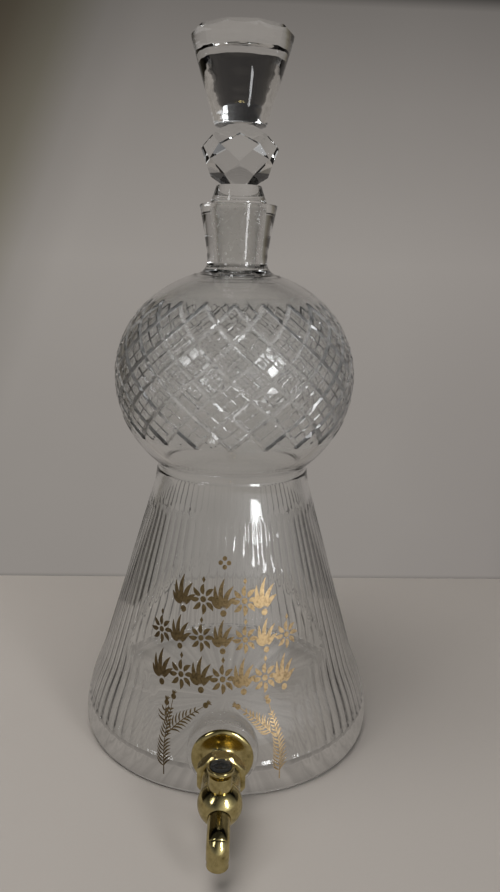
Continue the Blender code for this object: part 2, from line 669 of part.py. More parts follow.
def make_spout(parts, look):
    line = spout_points(PIPE_START, PIPE_TAIL)
    pipe = tube("spout_pipe", line, PIPE_RADIUS, PIPE_ROUNDNESS, parts)
    line_through = spout_points(PIPE_START - OVERRUN, PIPE_TAIL + OVERRUN)
    bore = tube("spout_bore", line_through, PIPE_BORE, PIPE_ROUNDNESS, parts)
    combine(pipe, bore, "DIFFERENCE")
    finish(pipe, look)
    nozzle_top = line[-1].z - GAP
    lip = NOZZLE_FOOT_HEIGHT + NOZZLE_LIP
    profile = [(PIPE_BORE, nozzle_top), (NOZZLE_RADIUS, nozzle_top),
               (NOZZLE_RADIUS, lip + NOZZLE_LIP),
               (NOZZLE_LIP_RADIUS, lip), (NOZZLE_LIP_RADIUS, NOZZLE_FOOT_HEIGHT),
               (PIPE_BORE, NOZZLE_FOOT_HEIGHT)]
    nozzle = turned("spout_nozzle", profile, TAP_STEPS, parts, closed=True,
                    place=Matrix.Translation((0, line[-1].y, 0)))
    finish(nozzle, look)


# Tap: body and valve

def from_ball():
    """Sets an upright piece on the plunger's axis, its zero at the ball's centre."""
    return Matrix.Translation(BALL)


def round_bar(name, radius, start, end, steps, collection):
    """A plain round bar between two points, used to drill at any slant."""
    along = end - start
    profile = [(0, along.length), (radius, along.length), (radius, 0), (0, 0)]
    half_step = Matrix.Rotation(math.pi / steps, 4, "Z")
    slant = along.to_track_quat("Z", "Y").to_matrix().to_4x4()
    place = Matrix.Translation(start) @ slant @ half_step
    return turned(name, profile, steps, collection, place=place)


def make_body(parts, look):
    """Ball and barrel in one casting, drilled for shank, valve and spout."""
    back = BARREL_BACK
    centre = BALL_DISTANCE
    profile = []
    arc = math.acos(BARREL_RADIUS / BALL_RADIUS)
    for row in range(BALL_RINGS + 1):
        angle = lerp(math.pi / 2, -arc, row / BALL_RINGS)
        radius = 0 if row == 0 else BALL_RADIUS * math.cos(angle)
        profile.append((radius, centre + BALL_RADIUS * math.sin(angle)))
    profile += [(BARREL_RADIUS, back + BARREL_LENGTH * BARREL_TAPER_SHARE),
                (BARREL_FLANGE_RADIUS, back), (0, back)]
    body = turned("tap_body", profile, TAP_STEPS, parts, place=on_tap())

    work = bmesh.new()
    work.from_mesh(body.data)
    slice_off(work, BALL + Vector((0, 0, BONNET_SEAT)), Vector((0, 0, 1)))
    slice_off(work, BALL - Vector((0, 0, PLUG_SEAT)), Vector((0, 0, -1)))
    bmesh.ops.recalc_face_normals(work, faces=work.faces)
    work.to_mesh(body.data)
    work.free()

    along = spout_direction()
    socket_back = BALL + along * (PIPE_START - GAP)
    mouth = BALL + along * (BALL_RADIUS + OVERRUN)
    cuts = [round_bar("pipe_socket", PIPE_RADIUS + GAP, socket_back, mouth, TAP_STEPS, parts)]
    low = BALL + Vector((0, -CHAMBER_RADIUS / 2, -OUTLET_DROP))
    cuts.append(round_bar("outlet", OUTLET_RADIUS, low, socket_back + along * 2 * GAP,
                          SMALL_STEPS, parts))
    chamber = [(0, BONNET_SEAT + OVERRUN), (CHAMBER_RADIUS, BONNET_SEAT + OVERRUN),
               (CHAMBER_RADIUS, -CHAMBER_DEPTH), (BODY_PLUG_RADIUS + GAP, -CHAMBER_DEPTH),
               (BODY_PLUG_RADIUS + GAP, -PLUG_SEAT - OVERRUN), (0, -PLUG_SEAT - OVERRUN)]
    cuts.append(turned("chamber", chamber, SMALL_STEPS, parts, place=from_ball()))
    seat = SHANK_FRONT + GAP
    inlet = [(0, BALL_DISTANCE), (INLET_RADIUS, BALL_DISTANCE), (INLET_RADIUS, seat),
             (SHANK_HOLE, seat), (SHANK_HOLE, back - OVERRUN), (0, back - OVERRUN)]
    cuts.append(turned("inlet", inlet, SMALL_STEPS, parts, place=on_tap()))
    for cut in cuts:
        combine(body, cut, "DIFFERENCE")
    return finish(body, look)


SPIGOT_FOOT = BONNET_SEAT - BONNET_SPIGOT_DEPTH
BONNET_TOP = BONNET_SEAT + GAP + BONNET_HEIGHT
SPRING_FLOOR = SPIGOT_FOOT + BONNET_FLOOR
DISC_TOP = -(SEAT_DROP + SEAT_THICKNESS + GAP)
DISC_FOOT = DISC_TOP - DISC_THICKNESS
BUTTON_FOOT = BONNET_TOP + BUTTON_TRAVEL + GAP


def make_bonnet(parts, look):
    """The sleeve that guides the plunger; its floor carries the spring."""
    seat = BONNET_SEAT + GAP
    bore = PLUNGER_RADIUS + GAP
    stem = STEM_RADIUS + GAP
    profile = [(bore, BONNET_TOP), (BONNET_RADIUS - BONNET_EDGE, BONNET_TOP),
               (BONNET_RADIUS, BONNET_TOP - BONNET_EDGE), (BONNET_RADIUS, seat),
               (BONNET_SPIGOT_RADIUS, seat), (BONNET_SPIGOT_RADIUS, SPIGOT_FOOT),
               (stem, SPIGOT_FOOT), (stem, SPRING_FLOOR), (bore, SPRING_FLOOR)]
    bonnet = turned("bonnet", profile, TAP_STEPS, parts, closed=True, place=from_ball())
    finish(bonnet, look)


def make_seals(parts, rubber, brass):
    """The seal under the bonnet and the seat that the disc closes."""
    stem = STEM_RADIUS + GAP
    outer = CHAMBER_RADIUS - GAP
    top = SPIGOT_FOOT - GAP
    seal = ring("stem_seal", stem, outer, top - SEAL_THICKNESS, top, SMALL_STEPS, parts,
                from_ball())
    finish(seal, rubber)
    seat = ring("valve_seat", SEAT_BORE, outer, -(SEAT_DROP + SEAT_THICKNESS), -SEAT_DROP,
                SMALL_STEPS, parts, from_ball())
    finish(seat, brass)


def make_spring(parts, look):
    low = SPRING_FLOOR + GAP + SPRING_WIRE
    high = PLUNGER_FOOT - GAP - SPRING_WIRE
    count = SPRING_TURNS * SPRING_TURN_STEPS
    points = []
    for step in range(count + 1):
        angle = 2 * math.pi * step / SPRING_TURN_STEPS
        points.append(BALL + Vector((SPRING_RADIUS * math.cos(angle),
                                     SPRING_RADIUS * math.sin(angle),
                                     lerp(low, high, step / count))))
    finish(tube("return_spring", points, SPRING_WIRE, WIRE_ROUNDNESS, parts), look)


def make_body_plug(parts, look):
    """The slotted plug that closes the valve chamber from below."""
    seat = PLUG_SEAT + GAP
    foot = seat + BODY_PLUG_HEAD
    profile = [(0, -CHAMBER_DEPTH), (BODY_PLUG_RADIUS, -CHAMBER_DEPTH), (BODY_PLUG_RADIUS, -seat),
               (BODY_PLUG_HEAD_RADIUS, -seat), (BODY_PLUG_HEAD_RADIUS, BONNET_EDGE - foot),
               (BODY_PLUG_HEAD_RADIUS - BONNET_EDGE, -foot), (0, -foot)]
    plug = turned("body_plug", profile, SMALL_STEPS, parts, place=from_ball())
    work = bmesh.new()
    bmesh.ops.create_cube(work, size=1)
    size = (2 * BODY_PLUG_HEAD_RADIUS + OVERRUN, SLOT_WIDTH, 2 * SLOT_DEPTH)
    bmesh.ops.scale(work, vec=size, verts=work.verts)
    bmesh.ops.translate(work, vec=BALL - Vector((0, 0, foot)), verts=work.verts)
    mesh = bpy.data.meshes.new("slot")
    work.to_mesh(mesh)
    work.free()
    combine(plug, add_object("slot", mesh, parts), "DIFFERENCE")
    finish(plug, look)


def make_plunger(parts, brass, rubber, black):
    """What moves when the button is pressed; each origin is on the plunger's axis."""
    disc = ring("valve_disc", STEM_RADIUS + GAP, DISC_RADIUS, DISC_FOOT, DISC_TOP, SMALL_STEPS,
                parts, from_ball())
    finish(disc, rubber, origin=BALL.copy())

    top = BUTTON_FOOT - GAP
    head = DISC_FOOT - GAP
    profile = [(0, top), (PLUNGER_RADIUS, top), (PLUNGER_RADIUS, PLUNGER_FOOT),
               (STEM_RADIUS, PLUNGER_FOOT), (STEM_RADIUS, head - DISC_NUT_THICKNESS),
               (0, head - DISC_NUT_THICKNESS)]
    stem = turned("valve_stem", profile, TAP_STEPS, parts, place=from_ball())
    finish(stem, brass, origin=BALL.copy())

    nut = prism("disc_nut", 6, DISC_NUT_FLATS, head - DISC_NUT_THICKNESS, head, DISC_NUT_EDGE,
                parts)
    drill(nut, STEM_RADIUS + GAP, head - DISC_NUT_THICKNESS, head, parts)
    nut.data.transform(from_ball())
    finish(nut, brass, origin=BALL.copy())

    cap = BUTTON_FOOT + BUTTON_THICKNESS
    recess = BUTTON_RADIUS - BUTTON_RIM
    crown = cap + BUTTON_CROWN
    floor = crown - INLAY_THICKNESS
    profile = [(0, floor - GAP), (recess, floor - GAP), (recess, cap),
               (BUTTON_RADIUS - 2 * BUTTON_EDGE, cap),
               (BUTTON_RADIUS, cap - 2 * BUTTON_EDGE), (BUTTON_RADIUS, BUTTON_FOOT + BUTTON_EDGE),
               (BUTTON_RADIUS - BUTTON_EDGE, BUTTON_FOOT), (0, BUTTON_FOOT)]
    button = turned("push_button", profile, TAP_STEPS, parts, place=from_ball())
    finish(button, brass, origin=BALL.copy())
    inlay_radius = recess - GAP
    profile = [(0, crown), (inlay_radius - BUTTON_CROWN, crown), (inlay_radius, cap),
               (inlay_radius, floor), (0, floor)]
    inlay = turned("button_inlay", profile, TAP_STEPS, parts, place=from_ball())
    finish(inlay, black, origin=BALL.copy())


def main():
    parts = start_scene()
    glass = material("cut_glass", (0.93, 0.95, 0.94), 0.03, transmission=1.0, ior=1.52)
    brass = material("brass", (0.55, 0.40, 0.16), 0.22, metallic=1.0)
    steel = material("spring_steel", (0.50, 0.50, 0.50), 0.30, metallic=1.0)
    rubber = material("rubber", (0.05, 0.05, 0.05), 0.70)
    fibre = material("fibre", (0.22, 0.15, 0.10), 0.80)
    cork = material("cork", (0.48, 0.33, 0.20), 0.85)
    black = material("button_black", (0.02, 0.02, 0.02), 0.25)

    make_vessel(parts, glass)
    make_stopper(parts, glass)
    make_clamp(parts, brass, fibre, cork)
    make_body(parts, brass)
    make_bonnet(parts, brass)
    make_seals(parts, rubber, brass)
    make_spring(parts, steel)
    make_body_plug(parts, brass)
    make_plunger(parts, brass, rubber, black)
    make_spout(parts, brass)


main()
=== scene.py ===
"""Looks of the cut-glass dispenser: the cut and polished glass, the brass tap, the gilt ornament on
its front panel, and a plain set. Metres, +Z up, the tap points to -Y."""

from contextlib import contextmanager
from math import acos, asin, atan2, cos, hypot, pi, radians, sin, sqrt, tan

import bmesh
import bpy
import numpy as np
from mathutils import Matrix, Vector


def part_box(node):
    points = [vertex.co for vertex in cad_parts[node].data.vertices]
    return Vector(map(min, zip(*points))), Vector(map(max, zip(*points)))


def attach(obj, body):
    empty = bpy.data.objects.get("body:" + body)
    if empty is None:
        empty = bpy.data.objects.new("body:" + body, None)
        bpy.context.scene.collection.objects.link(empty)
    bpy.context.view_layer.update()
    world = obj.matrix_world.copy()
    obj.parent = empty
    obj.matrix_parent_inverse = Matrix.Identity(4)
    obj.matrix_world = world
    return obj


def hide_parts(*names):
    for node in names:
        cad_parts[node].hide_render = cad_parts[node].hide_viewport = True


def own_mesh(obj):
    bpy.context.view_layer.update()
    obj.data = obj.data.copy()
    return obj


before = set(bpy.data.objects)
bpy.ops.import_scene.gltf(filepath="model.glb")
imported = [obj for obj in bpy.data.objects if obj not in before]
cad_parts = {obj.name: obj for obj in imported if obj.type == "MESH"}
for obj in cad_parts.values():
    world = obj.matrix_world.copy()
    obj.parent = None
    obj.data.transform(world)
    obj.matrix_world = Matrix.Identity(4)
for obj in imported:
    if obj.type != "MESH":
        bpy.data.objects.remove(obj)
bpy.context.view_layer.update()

# Camera, as fitted to the photograph's outline
CAMERA_DISTANCE = 0.558
CAMERA_HEIGHT = 0.356
CAMERA_AZIMUTH = radians(0.8)
CAMERA_PITCH = radians(13.5)
CAMERA_ROLL = radians(1.444)
CAMERA_LENS = 30.27             # mm, for a sensor 36 mm on its long side
CAMERA_SHIFT = 0.0196

# Set
WALL_DISTANCE = 0.265           # behind the vessel's axis
WALL_SKEW = 0.059               # the wall runs a little away to the right
FLOOR_SIZE = 6.0
WALL_HEIGHT = 3.0

# Glass vessel: how finely it is stepped, and the cuts
COLUMNS = 504                   # 24 to a diamond, 7 to a flute
PLAIN_COLUMNS = 168             # where the outside has no cuts
INNER_COLUMNS = 84
BAND_STEPS = 12                 # rings to half a row of diamonds
DIAMOND_COUNT = 21
DIAMOND_ROWS = 4
BAND_FOOT = 0.2388
BAND_TOP = 0.3306
MITRE_DEPTH = 0.0016            # grooves that bound the diamonds
PANE_SAG = 0.00025              # how far each flat pane lies under the round bulb
PANE_TILT = 0.020               # the cutter's hand: slope by which panes differ from each other
MITRE_SHARE = 3 / 24            # half the groove's width, as a share of the way between grooves
FINE_DEPTH = 0.0006             # the finer cross cut in each diamond
FINE_SHARE = 1 / 24
BAND_MARGIN = 3                 # rings added past the band, where the grooves run out
BAND_STEP = (BAND_TOP - BAND_FOOT) / (2 * DIAMOND_ROWS * BAND_STEPS)
FLUTE_COUNT = 72
FLUTE_DEPTH = 0.0013
FLUTE_TOP = 0.186
FLUTE_FOOT = 0.0115
FLUTE_RUN = 0.009               # length over which a flute comes to its point
PANEL_RUN = 0.009
PANEL_TOP = 0.158
PANEL_SPRING = 0.084
PANEL_FOOT = 0.055
PANEL_HALF_ANGLE = radians(52)
PANEL_FOOT_ANGLE = radians(27)

FOOT_RADIUS = 0.1095
HEEL_RADIUS = 0.1129
HEEL_HEIGHT = 0.010
FLARE_RADIUS = 0.1001
FLARE_HEIGHT = 0.056
CONE_TOP_RADIUS = 0.0589
CONE_TOP_HEIGHT = 0.196
WAIST_RADIUS = 0.0572
WAIST_HEIGHT = 0.2105
WAIST_FILLET = 0.0042
BULB_RADIUS = 0.0886
BULB_HEIGHT = 0.277
BULB_RISE = 0.078
BULB_DROP = 0.085
BULB_WALL = 0.0055
SKIRT_WALL = 0.0058
WAIST_BELOW = 0.016             # how far the wall follows the waist, down and up
WAIST_ABOVE = 0.022
FLOOR_THICKNESS = 0.013
FLOOR_DOME = 0.0012
FLOOR_FILLET = 0.010
BOSS_RADIUS = 0.0245
BOSS_THICKNESS = 0.023
BOSS_EDGE = 0.0022
HOLLOW_GROWTH = 0.0008          # the hollow, as it is cut from the boss, is this much larger
HOLLOW_TOP = 0.10
DRILL_PAST = 0.004
NECK_FILLET = 0.009
NECK_WAIST = 0.0216             # its least radius, just above the shoulder
RIM_RADIUS = 0.0277
RIM_EDGE = 0.0009

# Places in the list of glass materials
GROUND, CUT, UNDER, WAVY = 1, 2, 3, 4
GRIND_PAST = 0.0002             # how far past the hole's wall, and past its end
GRIND_END = 0.0005
LEVEL = 0.9                     # a face whose normal stands up more than this lies flat
GROOVE_SHARE = 0.28             # of the grooves' depth: deeper than this is cut, not pane
BAND_EDGE = 0.003               # how far past the band its grooves can lie
NECK_REACH = 0.05               # nearer to the axis than this is neck or stopper, not bulb

CLEARANCE = 0.0003              # keeps two surfaces from lying in one place
CUT_PAST = 0.002                # how far a cutting tool reaches past what it cuts
BUSH_HOLE = 0.0085              # the drilled hole that the tap is corked into
THROAT_FILLET = 0.0035          # where the bore opens into the bulb
THROAT_RUN = 0.0090             # how far the grinding goes on below the plug
THROAT_REACH = 0.0175           # how far from the axis a face can be and still be ground


def lerp(a, b, share):
    return a + (b - a) * share


def circle(steps, shifted=0):
    """Points evenly round the unit circle."""
    angles = [2 * pi * (step + shifted) / steps for step in range(steps)]
    return [(cos(angle), sin(angle)) for angle in angles]


def headings(points):
    """The direction of a line of points at each of them."""
    points = [Vector(point) for point in points]
    ends = zip(points[:1] + points, points[1:] + points[-1:])
    return [(after - before).normalized() for before, after in ends]


# Meshes

def add_mesh(name, verts, faces):
    mesh = bpy.data.meshes.new(name)
    mesh.from_pydata([tuple(v) for v in verts], [], faces)
    mesh.update()
    thing = bpy.data.objects.new(name, mesh)
    bpy.context.scene.collection.objects.link(thing)
    return thing


def smooth(thing, crease):
    """Smooth shading, with edges sharper than the crease angle kept crisp."""
    thing.data.shade_smooth()
    thing.data.set_sharp_from_angle(angle=radians(crease))
    return thing


@contextmanager
def open_mesh(thing):
    """An object's mesh, open for bmesh's tools. Its normals point outwards afterwards."""
    work = bmesh.new()
    work.from_mesh(thing.data)
    yield work
    bmesh.ops.recalc_face_normals(work, faces=work.faces)
    work.to_mesh(thing.data)
    work.free()


def settle(thing):
    """Turn an object's modifiers into plain mesh."""
    bpy.context.view_layer.update()
    graph = bpy.context.evaluated_depsgraph_get()
    mesh = bpy.data.meshes.new_from_object(thing.evaluated_get(graph))
    thing.modifiers.clear()
    thing.data = mesh
    return thing


def combine(thing, other, operation="DIFFERENCE"):
    """Cut or join with the exact solver. The other object is used up."""
    tool = thing.modifiers.new(operation.title(), "BOOLEAN")
    tool.operation = operation
    tool.solver = "EXACT"
    tool.object = other
    settle(thing)
    bpy.data.objects.remove(other, do_unlink=True)
    return thing


def rounded(profile, radius, points=3):
    """Round each inner corner of a (radius, height) profile, as far as its sides allow."""
    corners = [Vector(point) for point in profile]
    result = [corners[0]]
    for before, corner, after in zip(corners, corners[1:], corners[2:]):
        back, ahead = before - corner, after - corner
        turn = back.angle(-ahead)
        reach = min(radius * tan(turn / 2), back.length * 0.45, ahead.length * 0.45)
        if turn < radians(8) or reach < 1e-6:
            result.append(corner)
            continue
        start, end = corner + back.normalized() * reach, corner + ahead.normalized() * reach
        for step in range(points + 1):
            share = step / points
            result.append(start * (1 - share) ** 2 + corner * 2 * share * (1 - share)
                          + end * share ** 2)
    result.append(corners[-1])
    return [(point.x, point.y) for point in result]


UP = Vector((0, 0, 1))


def turned(name, profile, steps, place=None, closed=False):
    """Turn a profile of (radius, height) points round Z, running down its outer side. An open one
    starts and ends on the axis; a closed one is a ring's section."""
    verts, rings = [], []
    for radius, height in profile:
        if radius < 1e-7:
            rings.append([len(verts)] * steps)
            verts.append((0, 0, height))
            continue
        rings.append(list(range(len(verts), len(verts) + steps)))
        verts += [(radius * x, radius * y, height) for x, y in circle(steps)]
    if closed:
        rings.append(rings[0])
    faces = []
    for upper, lower in zip(rings, rings[1:]):
        for step in range(steps):
            after = (step + 1) % steps
            ring = [upper[step], lower[step], lower[after], upper[after]]
            face = [index for n, index in enumerate(ring) if index != ring[n - 1]]
            if len(face) > 2:
                faces.append(face)
    thing = add_mesh(name, verts, faces)
    if place is not None:
        thing.data.transform(place)
    return thing


def rod(name, radius, top, foot, steps, place=None):
    return turned(name, [(0, top), (radius, top), (radius, foot), (0, foot)], steps, place)


def slice_off(work, point, normal):
    """Cut a closed mesh flat, keeping what lies behind the plane."""
    whole = work.verts[:] + work.edges[:] + work.faces[:]
    cut = bmesh.ops.bisect_plane(work, geom=whole, plane_co=point, plane_no=normal,
                                 dist=1e-6, clear_outer=True)
    edges = [item for item in cut["geom_cut"] if isinstance(item, bmesh.types.BMEdge)]
    if edges:
        bmesh.ops.edgeloop_fill(work, edges=edges)


def centre_of(node):
    low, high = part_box(node)
    return (low + high) / 2


# Glass vessel

def skirt_radius(height):
    """Outer radius of the uncut skirt, heel to waist, with the flare eased into the cone."""
    height = np.asarray(height, float)
    drop = np.clip((HEEL_HEIGHT - height) / HEEL_HEIGHT, 0, 1)
    heel = lerp(FOOT_RADIUS, HEEL_RADIUS, np.sqrt(1 - drop ** 2))

    def straight(at):
        rise = np.clip((at - HEEL_HEIGHT) / (FLARE_HEIGHT - HEEL_HEIGHT), 0, None)
        flare = lerp(HEEL_RADIUS, FLARE_RADIUS, np.minimum(rise, 1) ** 1.75)
        cone = lerp(FLARE_RADIUS, CONE_TOP_RADIUS,
                    (at - FLARE_HEIGHT) / (CONE_TOP_HEIGHT - FLARE_HEIGHT))
        return np.where(at < FLARE_HEIGHT, flare, cone)

    ease = 0.008 * np.clip((height - HEEL_HEIGHT) / 0.02, 0, 1)
    taps = np.linspace(-1, 1, 9)
    eased = sum(straight(height + ease * tap) * (1 - tap * tap) for tap in taps)
    eased = eased / sum(1 - tap * tap for tap in taps)
    rise = np.clip((height - CONE_TOP_HEIGHT) / (WAIST_HEIGHT - CONE_TOP_HEIGHT), 0, 1)
    waist = lerp(CONE_TOP_RADIUS, WAIST_RADIUS, rise * (2 - rise))
    body = np.where(height < CONE_TOP_HEIGHT, eased, waist)
    return np.where(height < HEEL_HEIGHT, heel, body)


def bulb_radius(height, inset=0.0):
    height = np.asarray(height, float)
    reach = np.where(height > BULB_HEIGHT, BULB_RISE, BULB_DROP) - inset
    away = np.clip(np.abs(height - BULB_HEIGHT) / reach, 0, 1)
    return (BULB_RADIUS - inset) * np.sqrt(1 - away ** 2)


def bulb_height(radius, side, inset=0.0):
    reach = (BULB_RISE if side > 0 else BULB_DROP) - inset
    across = min(1, radius / (BULB_RADIUS - inset))
    return BULB_HEIGHT + side * reach * sqrt(1 - across * across)


def slants(angle, height):
    """Place on the bulb in diamonds across and diamonds up."""
    return (angle * DIAMOND_COUNT / (2 * pi),
            (height - BAND_FOOT) * DIAMOND_ROWS / (BAND_TOP - BAND_FOOT))


def mitre_depth(angle, height):
    """Depth of the diamond cutting: V grooves on both slants, and a finer cross in each diamond."""
    across, up = slants(angle, height)
    depth = np.zeros_like(across)
    for side in (1, -1):
        slant = across + side * up
        off = slant - np.round(slant)
        nearest = up - side * off / 2
        past = np.clip(nearest - DIAMOND_ROWS, 0, None) + np.clip(-nearest, 0, None)
        away = np.abs(off) + 2 * past
        depth = np.maximum(depth, MITRE_DEPTH * np.clip(1 - away / MITRE_SHARE, 0, 1))
        away = 0.5 - np.abs(off) + 2 * past
        inner = FINE_DEPTH * np.clip(1 - away / FINE_SHARE, 0, 1)
        depth = np.maximum(depth, np.where((up > 0) & (up < DIAMOND_ROWS), inner, 0))
    return depth


def pane_depth(angle, height):
    """Depth under the round bulb of the flat panes, four to a diamond."""
    across, up = slants(angle, height)
    rising, falling = np.floor(across + up), np.floor(across - up)
    in_band = np.abs((rising - falling) / 2 - DIAMOND_ROWS / 2) < DIAMOND_ROWS / 2 - 0.4
    rising, falling = np.floor((across + up) * 2) + 0.5, np.floor((across - up) * 2) + 0.5
    middle_across, middle_up = (rising + falling) / 4, (rising - falling) / 4
    middle = BAND_FOOT + middle_up * (BAND_TOP - BAND_FOOT) / DIAMOND_ROWS
    seed = np.mod(middle_across, DIAMOND_COUNT) * 12.9 + middle_up * 78.2
    step = 0.0001
    slope = (bulb_radius(middle + step) - bulb_radius(middle - step)) / (2 * step)
    plane = (bulb_radius(middle) - PANE_SAG
             + (slope + PANE_TILT * np.sin(seed * 3)) * (height - middle))
    turn = angle - middle_across * 2 * pi / DIAMOND_COUNT
    plane = plane / (np.cos(turn) + PANE_TILT * np.sin(seed * 7) * np.sin(turn))
    return np.where(in_band, np.clip(bulb_radius(height) - plane, 0, None), 0)


def flute_depth(angle, height):
    """Depth of the hollow flutes, which end in points and leave the front panel plain."""
    pitch = 2 * pi / FLUTE_COUNT
    side = np.abs(angle)
    ends = np.minimum((FLUTE_TOP - height) / FLUTE_RUN, (height - FLUTE_FOOT) / FLUTE_RUN)
    across = np.clip(side / PANEL_HALF_ANGLE, 0, 1)
    panel_top = lerp(PANEL_SPRING, PANEL_TOP, (1 - across ** 2) ** 0.7)
    share = np.clip((side - PANEL_FOOT_ANGLE) / (PANEL_HALF_ANGLE - PANEL_FOOT_ANGLE), 0, 1)
    panel_foot = np.where(side > PANEL_FOOT_ANGLE, lerp(PANEL_FOOT, PANEL_SPRING, share ** 0.6), -1)
    panel = np.maximum((height - panel_top) / PANEL_RUN, (panel_foot - height) / PANEL_RUN)
    panel = np.where(side < PANEL_HALF_ANGLE, panel, 1)
    run = np.clip(np.minimum(ends, panel), 0, 1)
    away = np.abs(angle / pitch - np.round(angle / pitch)) * 2
    slim = skirt_radius(height) / HEEL_RADIUS
    return FLUTE_DEPTH * slim * np.clip(run - away ** 2, 0, None)


def run(radius, start, end, count):
    """(radius, height) rows at evenly spaced heights; radius is a function of the height."""
    return [(float(radius(height)), height) for height in np.linspace(start, end, count)]


def quarter(count):
    """Angles over a quarter turn, with both its ends."""
    return np.linspace(0, pi / 2, count)


def waist_fillet():
    """Rows that round the crease between bulb and skirt."""
    high, crease, low = (run(radius, WAIST_HEIGHT + off, WAIST_HEIGHT + off, 1)[0]
                         for radius, off in ((bulb_radius, WAIST_FILLET), (bulb_radius, 0),
                                             (skirt_radius, -WAIST_FILLET)))
    rows = []
    for share in np.linspace(0, 1, 11)[1:-1]:
        weights = ((1 - share) ** 2, 2 * share * (1 - share), share ** 2)
        rows.append(tuple(sum(weight * point[axis] for weight, point
                              in zip(weights, (high, crease, low))) for axis in (0, 1)))
    return rows


def outer_rows():
    """(radius, height, columns) rows down the outside: rim, neck, bulb, waist, skirt and heel."""
    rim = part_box("glass_vessel")[1].z
    neck_foot = bulb_height(NECK_WAIST + NECK_FILLET, 1)
    above, below = BAND_TOP + BAND_MARGIN * BAND_STEP, BAND_FOOT - BAND_MARGIN * BAND_STEP
    neck = [(RIM_RADIUS - RIM_EDGE, rim)]
    neck += [(RIM_RADIUS - RIM_EDGE * (1 - sin(turn)), rim - RIM_EDGE * (1 - cos(turn)))
             for turn in quarter(5)[1:]]
    neck += [(lerp(RIM_RADIUS, NECK_WAIST, 1 - (1 - share) ** 1.35),
              lerp(rim - RIM_EDGE, neck_foot + NECK_FILLET, share))
             for share in np.linspace(0, 1, 13)[1:]]
    neck += [(NECK_WAIST + NECK_FILLET * (1 - cos(turn)), neck_foot + NECK_FILLET * (1 - sin(turn)))
             for turn in quarter(10)[1:-1]]
    neck += run(bulb_radius, neck_foot, above, 7)[:-1]
    band = run(bulb_radius, above, below, 2 * (DIAMOND_ROWS * BAND_STEPS + BAND_MARGIN) + 1)
    waist = run(bulb_radius, below, WAIST_HEIGHT + WAIST_FILLET, 7)[1:] + waist_fillet()
    waist += run(skirt_radius, WAIST_HEIGHT - WAIST_FILLET, FLUTE_TOP, 5)[:-1]
    flutes = run(skirt_radius, FLUTE_TOP, FLUTE_TOP - FLUTE_RUN, 6)[:-1]
    flutes += run(skirt_radius, FLUTE_TOP - FLUTE_RUN, FLUTE_FOOT + FLUTE_RUN, 31)[:-1]
    flutes += run(skirt_radius, FLUTE_FOOT + FLUTE_RUN, FLUTE_FOOT, 6)
    heel = run(skirt_radius, FLUTE_FOOT, HEEL_HEIGHT, 3)[1:]
    for turn in quarter(7)[1:]:
        height = HEEL_HEIGHT * (1 - sin(turn))
        heel.append((float(skirt_radius(height)), height))
    parts = ((neck, PLAIN_COLUMNS), (band, COLUMNS), (waist, PLAIN_COLUMNS), (flutes, COLUMNS),
             (heel, PLAIN_COLUMNS))
    return [(*row, columns) for rows, columns in parts for row in rows]


def waist_inside():
    """Rows that follow the outside through the waist, a wall's thickness in, going up."""
    outside = run(skirt_radius, WAIST_HEIGHT - WAIST_BELOW, WAIST_HEIGHT - WAIST_FILLET, 10)
    outside += waist_fillet()[::-1]
    outside += run(bulb_radius, WAIST_HEIGHT + WAIST_FILLET, WAIST_HEIGHT + WAIST_ABOVE, 11)
    rows = []
    for place, along in list(zip(outside, headings(outside)))[1:-1]:
        wall = lerp(SKIRT_WALL, BULB_WALL, len(rows) / len(outside))
        inside = Vector(place) + Vector((-along.y, along.x)) * wall
        if not rows or inside.y > rows[-1][1] + 0.0003:
            rows.append((inside.x, inside.y))
    return rows


def inner_rows():
    """(radius, height) rows up the inside, from the floor to the rim of the bore."""
    plug_foot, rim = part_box("stopper")[0].z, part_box("glass_vessel")[1].z
    inside = HEEL_RADIUS - SKIRT_WALL
    rows = [(radius, FLOOR_THICKNESS + FLOOR_DOME * (1 - (radius / inside) ** 2))
            for radius in np.linspace(0.02, inside - FLOOR_FILLET, 5)]
    rows += [(inside - FLOOR_FILLET * (1 - sin(turn)),
              FLOOR_THICKNESS + FLOOR_FILLET * (1 - cos(turn))) for turn in quarter(8)[1:-1]]
    waist = waist_inside()
    rows += [(radius - SKIRT_WALL, height) for radius, height
             in run(skirt_radius, FLOOR_THICKNESS + FLOOR_FILLET, waist[0][1], 26)[:-1]]
    rows += waist
    throat = PLUG_FOOT_RADIUS + CLEARANCE
    shoulder = bulb_height(throat + THROAT_FILLET, 1, BULB_WALL)
    drop, rise = BULB_DROP - BULB_WALL, BULB_RISE - BULB_WALL
    for reach, turns in ((drop, np.linspace(asin((waist[-1][1] - BULB_HEIGHT) / drop), 0, 17)),
                         (rise, np.linspace(0, asin((shoulder - BULB_HEIGHT) / rise), 20))):
        rows += [((BULB_RADIUS - BULB_WALL) * cos(turn), BULB_HEIGHT + reach * sin(turn))
                 for turn in turns[1:]]
    rows += [(throat + THROAT_FILLET * (1 - sin(turn)), shoulder + THROAT_FILLET * (1 - cos(turn)))
             for turn in np.linspace(0.3, pi / 2, 8)]
    rows += [(lerp(throat, PLUG_TOP_RADIUS + CLEARANCE, share), lerp(plug_foot, rim, share))
             for share in np.linspace(0, 1, 6)]
    return rows


def stitch(faces, upper, lower):
    """Faces between two closed rings of vertices, of which one may be several times finer."""
    count = min(len(upper), len(lower))
    high, low = len(upper) // count, len(lower) // count
    for step in range(count):
        top = [upper[(step * high + n) % len(upper)] for n in range(high + 1)]
        foot = [lower[(step * low + n) % len(lower)] for n in range(low + 1)]
        faces.append((*foot, *reversed(top)))


